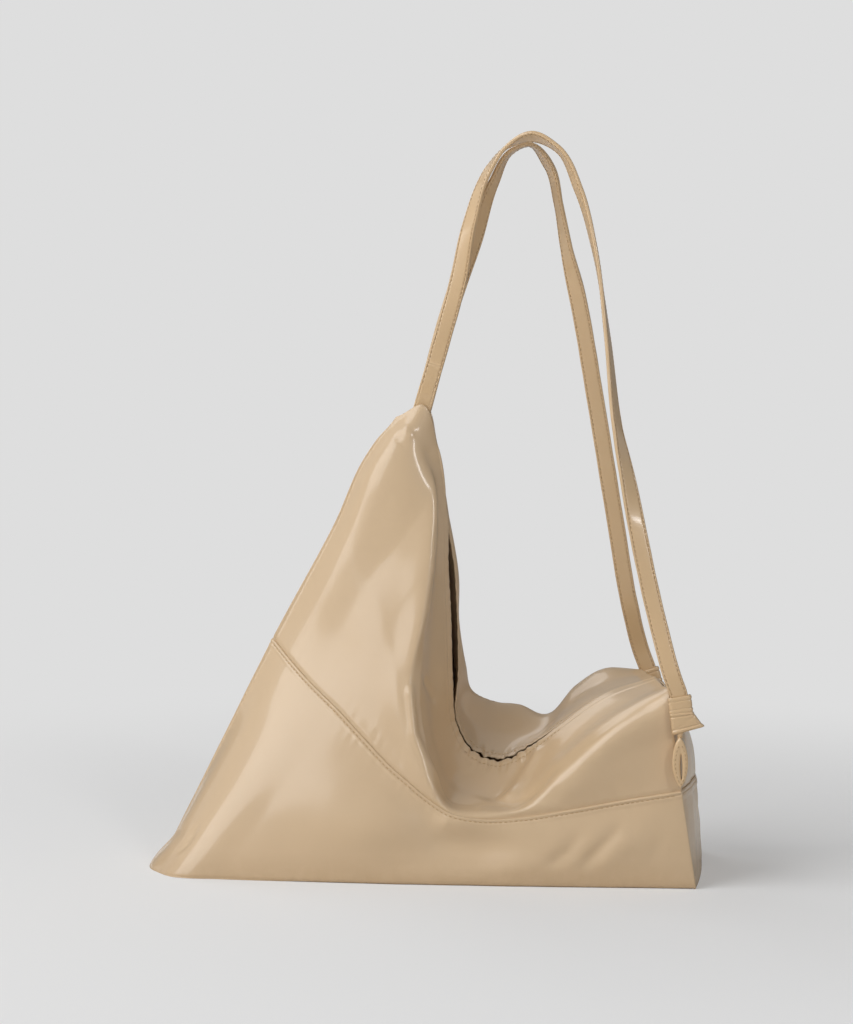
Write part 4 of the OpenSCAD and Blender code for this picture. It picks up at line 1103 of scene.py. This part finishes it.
def strap_pieces(side, body, names, nodes):
    """A strap's ribbon and its stitches. Its sewn root and the root's stitches are pieces apart."""
    points, looks = strap_path(side)
    last = len(points) - 1
    run = unit(points[1] - points[0])
    points = np.concatenate([[points[0] - run * SEWN_IN], points])
    looks = np.concatenate([looks[:1], looks])
    us = np.concatenate([np.linspace(0, 1, 10)[:-1], np.linspace(1, last + 1, last * 22)])
    thickness = 0.56 + 0.44 * ramp(0.6, 1.25, us)
    width = STRAP_WIDTH / 2 * (1 + 0.012 * gather(reach_along(curve(points, us)), 37, 91 + side))
    # A hand-sewn ribbon is never quite flat along its length
    sway = np.stack([unevenness(points, 60, 93 + k) for k in range(3)], axis=-1)
    points = points + 0.35 * sway * stretch(1.5, 3, last - 4, last - 2, np.arange(len(points)))[:, None]
    rings, middle, w, n = ribbon_rings(points, looks, us, width, thickness, strap_profile())
    root = points[1]
    bends = (root - run * BEND_START, root + run * BEND_END)
    # The first stretch, the sewn root, is a piece of its own, which is not attached to the strap's body.
    # The ring at the cut is doubled on both pieces, which keeps their flat ends out of the shading of the
    # sides.
    cut = int(np.argmax((middle - root) @ run > ROOT_LENGTH))
    low, high = rings[:cut + 1], rings[cut:]
    root_piece = loft(names[0] + "_root", np.concatenate([low, low[-1:]]))
    dress(root_piece, STRAP_LEATHER, body, nodes[:1], bends)
    ribbon = loft(names[0], np.concatenate([high[:1], high]))
    dress(ribbon, STRAP_LEATHER, body, nodes[1:])
    rows, root_rows = [], []
    sewn = slice(int(np.argmax(us > 1.1)), cut + 1)
    for edge in (-1, 1):
        for face in (-1, 1):
            path = middle + w * edge * STRAP_STITCH * width[:, None] + n * face * (HALF_THICK - 0.16)
            rows.append((path[cut:], n[cut:] * face))
            root_rows.append((path[sewn], n[sewn] * face))
    look = {"pitch": 3.9, "length": 2.9, "thick": 0.33}
    dress(stitches(names[1], rows, **look), THREAD, body)
    dress(stitches(names[1] + "_root", root_rows, **look), THREAD, body, (), bends)


def fold_end(side):
    """Where the strap's tail turns into the loop tab."""
    return knot_foot(side) + np.array([FOLD_ALONG[side], 0, -1])


def strap_tail(side, body, name):
    """The strap's narrow tail, from inside the wrap down into the head of the loop tab."""
    up, foot, end = knot_up(side), knot_foot(side), fold_end(side)
    points = [foot + up * 16, foot + up * 9, foot + up * 3 + (end - foot) * 0.4, end, end - [0, 0, 6]]
    points = np.array(points)
    looks = np.tile([0.0, side, 0], (len(points), 1))
    us = np.linspace(0, len(points) - 1, 36)
    width = STRAP_WIDTH / 2 * (0.9 - 0.62 * ramp(0.2, 2.6, us))
    rings = ribbon_rings(points, looks, us, width, np.full(len(us), 0.9), strap_profile())[0]
    dress(loft(name, rings), STRAP_LEATHER, body, (), (end, foot + up * 9))


def oval(half_x, half_y, sharp, count=56):
    """Points round an oval, the squarer the smaller sharp is."""
    turn = np.linspace(0, 2 * math.pi, count, endpoint=False)
    x, y = np.cos(turn), np.sin(turn)
    x, y = np.sign(x) * np.abs(x) ** sharp, np.sign(y) * np.abs(y) ** sharp
    return np.stack([half_x * x, half_y * y], axis=-1)


def on_knot(side, x, y, up):
    """Points given across, outwards and up a knot, in millimetres, put in their place."""
    x, y, up = (part[..., None] for part in np.broadcast_arrays(x, y, up))
    return knot_foot(side) + x * knot_across(side) + y * np.array([0.0, side, 0]) + up * knot_up(side)


def keeper(side, body, name, node):
    """The band round a doubled strap end, with a bead and a groove at both edges, and its lap."""
    rows = np.linspace(0, 1, 44)[:, None]
    outer, inner = oval(*BAND_SIZE, 0.42), oval(7.9, 2.0, 0.3)
    bead = bell(rows, 0.1, 0.07) + bell(rows, 0.9, 0.07)
    groove = bell(rows, 0.24, 0.045) + bell(rows, 0.76, 0.045)
    full = 1 + 0.03 * bead - 0.045 * groove
    lap = 0.25 * bell(outer[:, 0], 3.5, 1.0) * (outer[:, 1] > 0)
    up = KEEPER_FOOT + KEEPER_HEIGHT * rows + 0.5 * np.sin(outer[:, 0] / 9)
    outside = on_knot(side, outer[:, 0] * full, outer[:, 1] * full + lap, up)
    inside = on_knot(side, inner[:, 0], inner[:, 1], up)
    dress(sheet(name, outside, inside, loop=True), STRAP_LEATHER, body, [node])


def wrap(side, body, name, node):
    """The flared wrap: a strip wound round the strap, spreading to a tip at the outer side."""
    part = np.linspace(0, 1, 40)[:, None]
    ease = part ** 0.8
    top, flare = oval(*BAND_SIZE, 0.45), oval(*FLARE_SIZE, 0.62)
    flare_up = FLARE_RISE * (flare[:, 0] + FLARE_SIZE[0]) / (2 * FLARE_SIZE[0])
    up = flare_up * (1 - part) + WRAP_HEIGHT * part
    walls = []
    for wall in (0.0, WRAP_THICK):
        head = top * (1 - wall / np.array(BAND_SIZE))
        foot = flare * (1 - wall / (np.array(FLARE_SIZE) - 0.2)) + FLARE_SHIFT
        x = foot[:, 0] * (1 - ease) + head[:, 0] * ease
        y = foot[:, 1] * (1 - ease) + head[:, 1] * ease
        if wall == 0:
            rim = bell(part, 0.06, 0.05) + bell(part, 0.93, 0.05)
            groove = 0.8 * bell(part, 0.17, 0.035) + bell(part, 0.82, 0.035)
            crease = bell(up - 0.55 * x, 7.5, 0.8)
            y = y * (1 + 0.1 * rim - 0.14 * groove - 0.08 * crease)
            x = x * (1 + 0.02 * rim - 0.025 * groove)
        walls.append(on_knot(side, x, y, up))
    dress(sheet(name, walls[0], walls[1], loop=True), STRAP_LEATHER, body, [node])


def loop_tab(side, name, node):
    """A short strap folded on itself into a pointed loop, seen edge-on, with a slit left open.
    Gives the line of its stitches."""
    lean = math.radians(TAB_LEAN[side])
    depth = STRAP_WIDTH - 2
    across, up = np.array([math.cos(lean), 0, math.sin(lean)]), np.array([-math.sin(lean), 0, math.cos(lean)])
    middle = fold_end(side) - np.array([0, 0, HALF_THICK + GAP]) - up * TAB_LENGTH / 2
    middle[1] = side * (CORNER[1] + GAP + depth / 2 + TAB_OUT[side])
    turn = np.linspace(0, 2 * math.pi, 96, endpoint=False)

    def lens(half_width, half_length, shift_x, shift_z):
        z = np.cos(turn)
        x = np.sign(np.sin(turn)) * (1 - z * z) ** 0.72
        return np.stack([x * half_width + shift_x, z * half_length + shift_z], axis=-1)

    outside = lens(TAB_WIDTH / 2, TAB_LENGTH / 2, 0, 0)
    slit = lens(0.62, TAB_LENGTH / 4.2, 0.9, -TAB_LENGTH * 0.1)
    mid, half = (outside + slit) / 2, (outside - slit) / 2
    section = [(math.cos(a), math.sin(a)) for a in np.linspace(0, 2 * math.pi, 28, endpoint=False)]
    rings = []
    for c, s in section:
        thick = np.sign(c) * abs(c) ** 0.45
        wide = np.sign(s) * abs(s) ** 0.3 * (depth / 2)
        flat = mid + half * thick
        rings.append(middle + flat[:, :1] * across + flat[:, 1:] * up + np.array([0, wide, 0]))
    rings = np.array(rings).transpose(1, 0, 2)
    dress(loft(name, rings, loop=True), STRAP_LEATHER, "bag", [node])
    seam = (outside * 0.62 + slit * 0.38)[4:-4]
    path = middle + seam[:, :1] * across + seam[:, 1:] * up + np.array([0, side * (depth / 2 - 0.1), 0])
    return path, np.tile([0.0, side, 0], (len(path), 1))


def anchor_patch():
    """The small stiff patch between the two strap roots, with softened edges."""
    lean, half = math.radians(16), 6
    part = np.linspace(-1, 1, 13)
    place = np.sign(part) * np.abs(part) ** 0.8 * half
    x, z = np.meshgrid(place, place)
    thin = ANCHOR_THICK / 2 - 0.12 * (np.abs(x) / half) ** 6 - 0.12 * (np.abs(z) / half) ** 6
    along = -4 + x * math.cos(lean) + z * math.sin(lean)
    up = ROOT_Z - 14 - x * math.sin(lean) + z * math.cos(lean)
    front, back = (np.stack([along, face * thin, up], axis=-1) for face in (1, -1))
    dress(sheet("anchor_patch", front, back), INSIDE_LEATHER, replaced=["strap_anchor"])


# The bag, put together
hem_rows, lip_rows = outer_leather()
half_split = GAP / SEAM_END
gusset_row = gusset_piece("gusset_lower_leather", "gusset_lower", 0, SEAM_ROW - half_split, True)
gusset_piece("gusset_upper_leather", "gusset_upper", SEAM_ROW + half_split, FOLD_ROW, False)
dress(stitches("waist_stitches", hem_rows + [gusset_row]), THREAD)
dress(stitches("lip_stitches", lip_rows, pitch=3.6, length=2.7, thick=0.32), THREAD)
base_sheet("base_leather", "base_panel", 0, LEATHER, BASE_LEATHER)
base_sheet("base_cloth", "base_lining", 3.7, LINING, LINING_CLOTH)
side_cloth(FRONT, "front_lining_cloth", "front_lining")
side_cloth(BACK, "back_lining_cloth", "back_lining")
gusset_cloth()
pocket_rows = pocket_cloth()
dress(stitches("pocket_stitches", pocket_rows, pitch=3.2, length=2.3, thick=0.22), THREAD)
tape_rows = [zip_cloth(FRONT, "front_tape_cloth", "front_zip_tape"),
             zip_cloth(BACK, "back_tape_cloth", "back_zip_tape")]
dress(stitches("tape_stitches", tape_rows, pitch=2.6, length=1.9, thick=0.18), THREAD)
anchor_patch()
tab_rows = []
for strap_side, word in ((FRONT, "front"), (BACK, "back")):
    strap_body = word + "_strap"
    strap_pieces(strap_side, strap_body, [word + "_strap_ribbon", word + "_strap_stitches"],
                 [word + "_strap_root", word + "_strap"])
    strap_tail(strap_side, strap_body, word + "_strap_tail")
    keeper(strap_side, strap_body, word + "_keeper", word + "_keeper_band")
    wrap(strap_side, strap_body, word + "_wrap", word + "_wrap_band")
    tab_rows.append(loop_tab(strap_side, word + "_tab", word + "_loop_tab"))
dress(stitches("tab_stitches", tab_rows, pitch=3.4, length=2.5, thick=0.3), THREAD)
brass_nodes = ("front_zip_teeth", "back_zip_teeth", "zip_stops", "zip_slider", "zip_pull")
for node_name, finish in [("base_board", BOARD)] + [(brass_node, ZIP_BRASS) for brass_node in brass_nodes]:
    node_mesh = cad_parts[node_name].data
    node_mesh.materials.clear()
    node_mesh.materials.append(finish)


# Studio, in metres: the paper's near and far edge on the floor, its bend, top and half width
PAPER_NEAR, PAPER_FAR, PAPER_BEND, PAPER_TOP, PAPER_SIDE = -7.0, 3.6, 1.4, 6.0, 7.0
CAMERA_PLACE, CAMERA_AIM, FOCAL_LENGTH = (0.2884, -2.6462, 0.520), (0.0057, -0.0616, 0.310), 109.7


def studio_material():
    """Pale paper. The camera sees it partly as a plain pale tone, and it keeps the bag's shadow."""
    material = bpy.data.materials.new("Studio paper")
    material.use_nodes = True
    tree = material.node_tree
    shader = tree.nodes["Principled BSDF"]
    shader.inputs["Base Color"].default_value = linear(246, 246, 246)
    shader.inputs["Roughness"].default_value = 0.9
    shader.inputs["Specular IOR Level"].default_value = 0.0
    glow = tree.nodes.new("ShaderNodeEmission")
    glow.inputs["Color"].default_value = linear(222, 222, 222)
    mix = tree.nodes.new("ShaderNodeMixShader")
    path = tree.nodes.new("ShaderNodeLightPath")
    # Close to the bag the paper shows more of its own light and shade
    reach = tree.nodes.new("ShaderNodeVectorMath")
    reach.operation = "LENGTH"
    tree.links.new(place_on(tree), reach.inputs[0])
    far = tree.nodes.new("ShaderNodeMapRange")
    far.interpolation_type = "SMOOTHSTEP"
    for label, value in (("From Min", 0.3), ("From Max", 1.1), ("To Min", 0.3), ("To Max", 1.0)):
        far.inputs[label].default_value = value
    tree.links.new(reach.outputs["Value"], far.inputs["Value"])
    seen = math_node(tree, "MULTIPLY", path.outputs["Is Camera Ray"], far.outputs["Result"])
    tree.links.new(seen, mix.inputs[0])
    tree.links.new(shader.outputs[0], mix.inputs[1])
    tree.links.new(glow.outputs[0], mix.inputs[2])
    tree.links.new(mix.outputs[0], tree.nodes["Material Output"].inputs["Surface"])
    return material


def lamp(name, place, aim, size, power):
    data = bpy.data.lights.new(name, "AREA")
    data.shape = "RECTANGLE"
    data.size, data.size_y = size
    data.energy = power
    light = bpy.data.objects.new(name, data)
    light.location = place
    light.rotation_euler = (Vector(aim) - Vector(place)).to_track_quat("-Z", "Y").to_euler()
    bpy.context.scene.collection.objects.link(light)


def studio():
    """Pale paper that curves up behind the bag, soft lamps and a pale room."""
    turn = np.radians(np.linspace(0, 90, 25))
    profile = [(PAPER_NEAR, 0.0), (PAPER_FAR, 0.0)]
    profile += [(PAPER_FAR + PAPER_BEND * math.sin(a), PAPER_BEND * (1 - math.cos(a))) for a in turn[1:]]
    profile += [(PAPER_FAR + PAPER_BEND, PAPER_TOP)]
    points = np.array([(x, y, z) for y, z in profile for x in (-PAPER_SIDE, PAPER_SIDE)]) / MM
    faces = [[2 * k, 2 * k + 1, 2 * k + 3, 2 * k + 2] for k in range(len(profile) - 1)]
    paper = add_mesh("studio_paper", points, [np.array(faces)])
    paper.data.materials.append(studio_material())
    lamp("key", place=(-1.95, -1.42, 1.98), aim=(0, 0, 0.2), size=(2.6, 2.6), power=70)
    lamp("glint", place=(1.2, -1.9, 1.2), aim=(0, 0, 0.15), size=(0.22, 0.7), power=9)
    lamp("rim", place=(-1.0, 1.3, 1.8), aim=(0, 0, 0.2), size=(1.2, 1.2), power=8)
    world = bpy.data.worlds.new("Studio room")
    world.use_nodes = True
    room = world.node_tree.nodes["Background"]
    room.inputs["Color"].default_value = (1, 1, 1, 1)
    # The pale room shows more in the gloss of the leather than it lights it
    path = world.node_tree.nodes.new("ShaderNodeLightPath")
    light = math_node(world.node_tree, "MULTIPLY_ADD", path.outputs["Is Glossy Ray"], 0.7, 0.15)
    world.node_tree.links.new(light, room.inputs["Strength"])
    bpy.context.scene.world = world


def camera():
    """A camera where the photograph was taken from."""
    data = bpy.data.cameras.new("camera")
    data.lens, data.sensor_width = FOCAL_LENGTH, 36
    view = bpy.data.objects.new("camera", data)
    view.location = CAMERA_PLACE
    view.rotation_euler = (Vector(CAMERA_AIM) - view.location).to_track_quat("-Z", "Y").to_euler()
    bpy.context.scene.collection.objects.link(view)
    bpy.context.scene.camera = view


studio()
camera()
bpy.context.scene.view_settings.view_transform = "Standard"
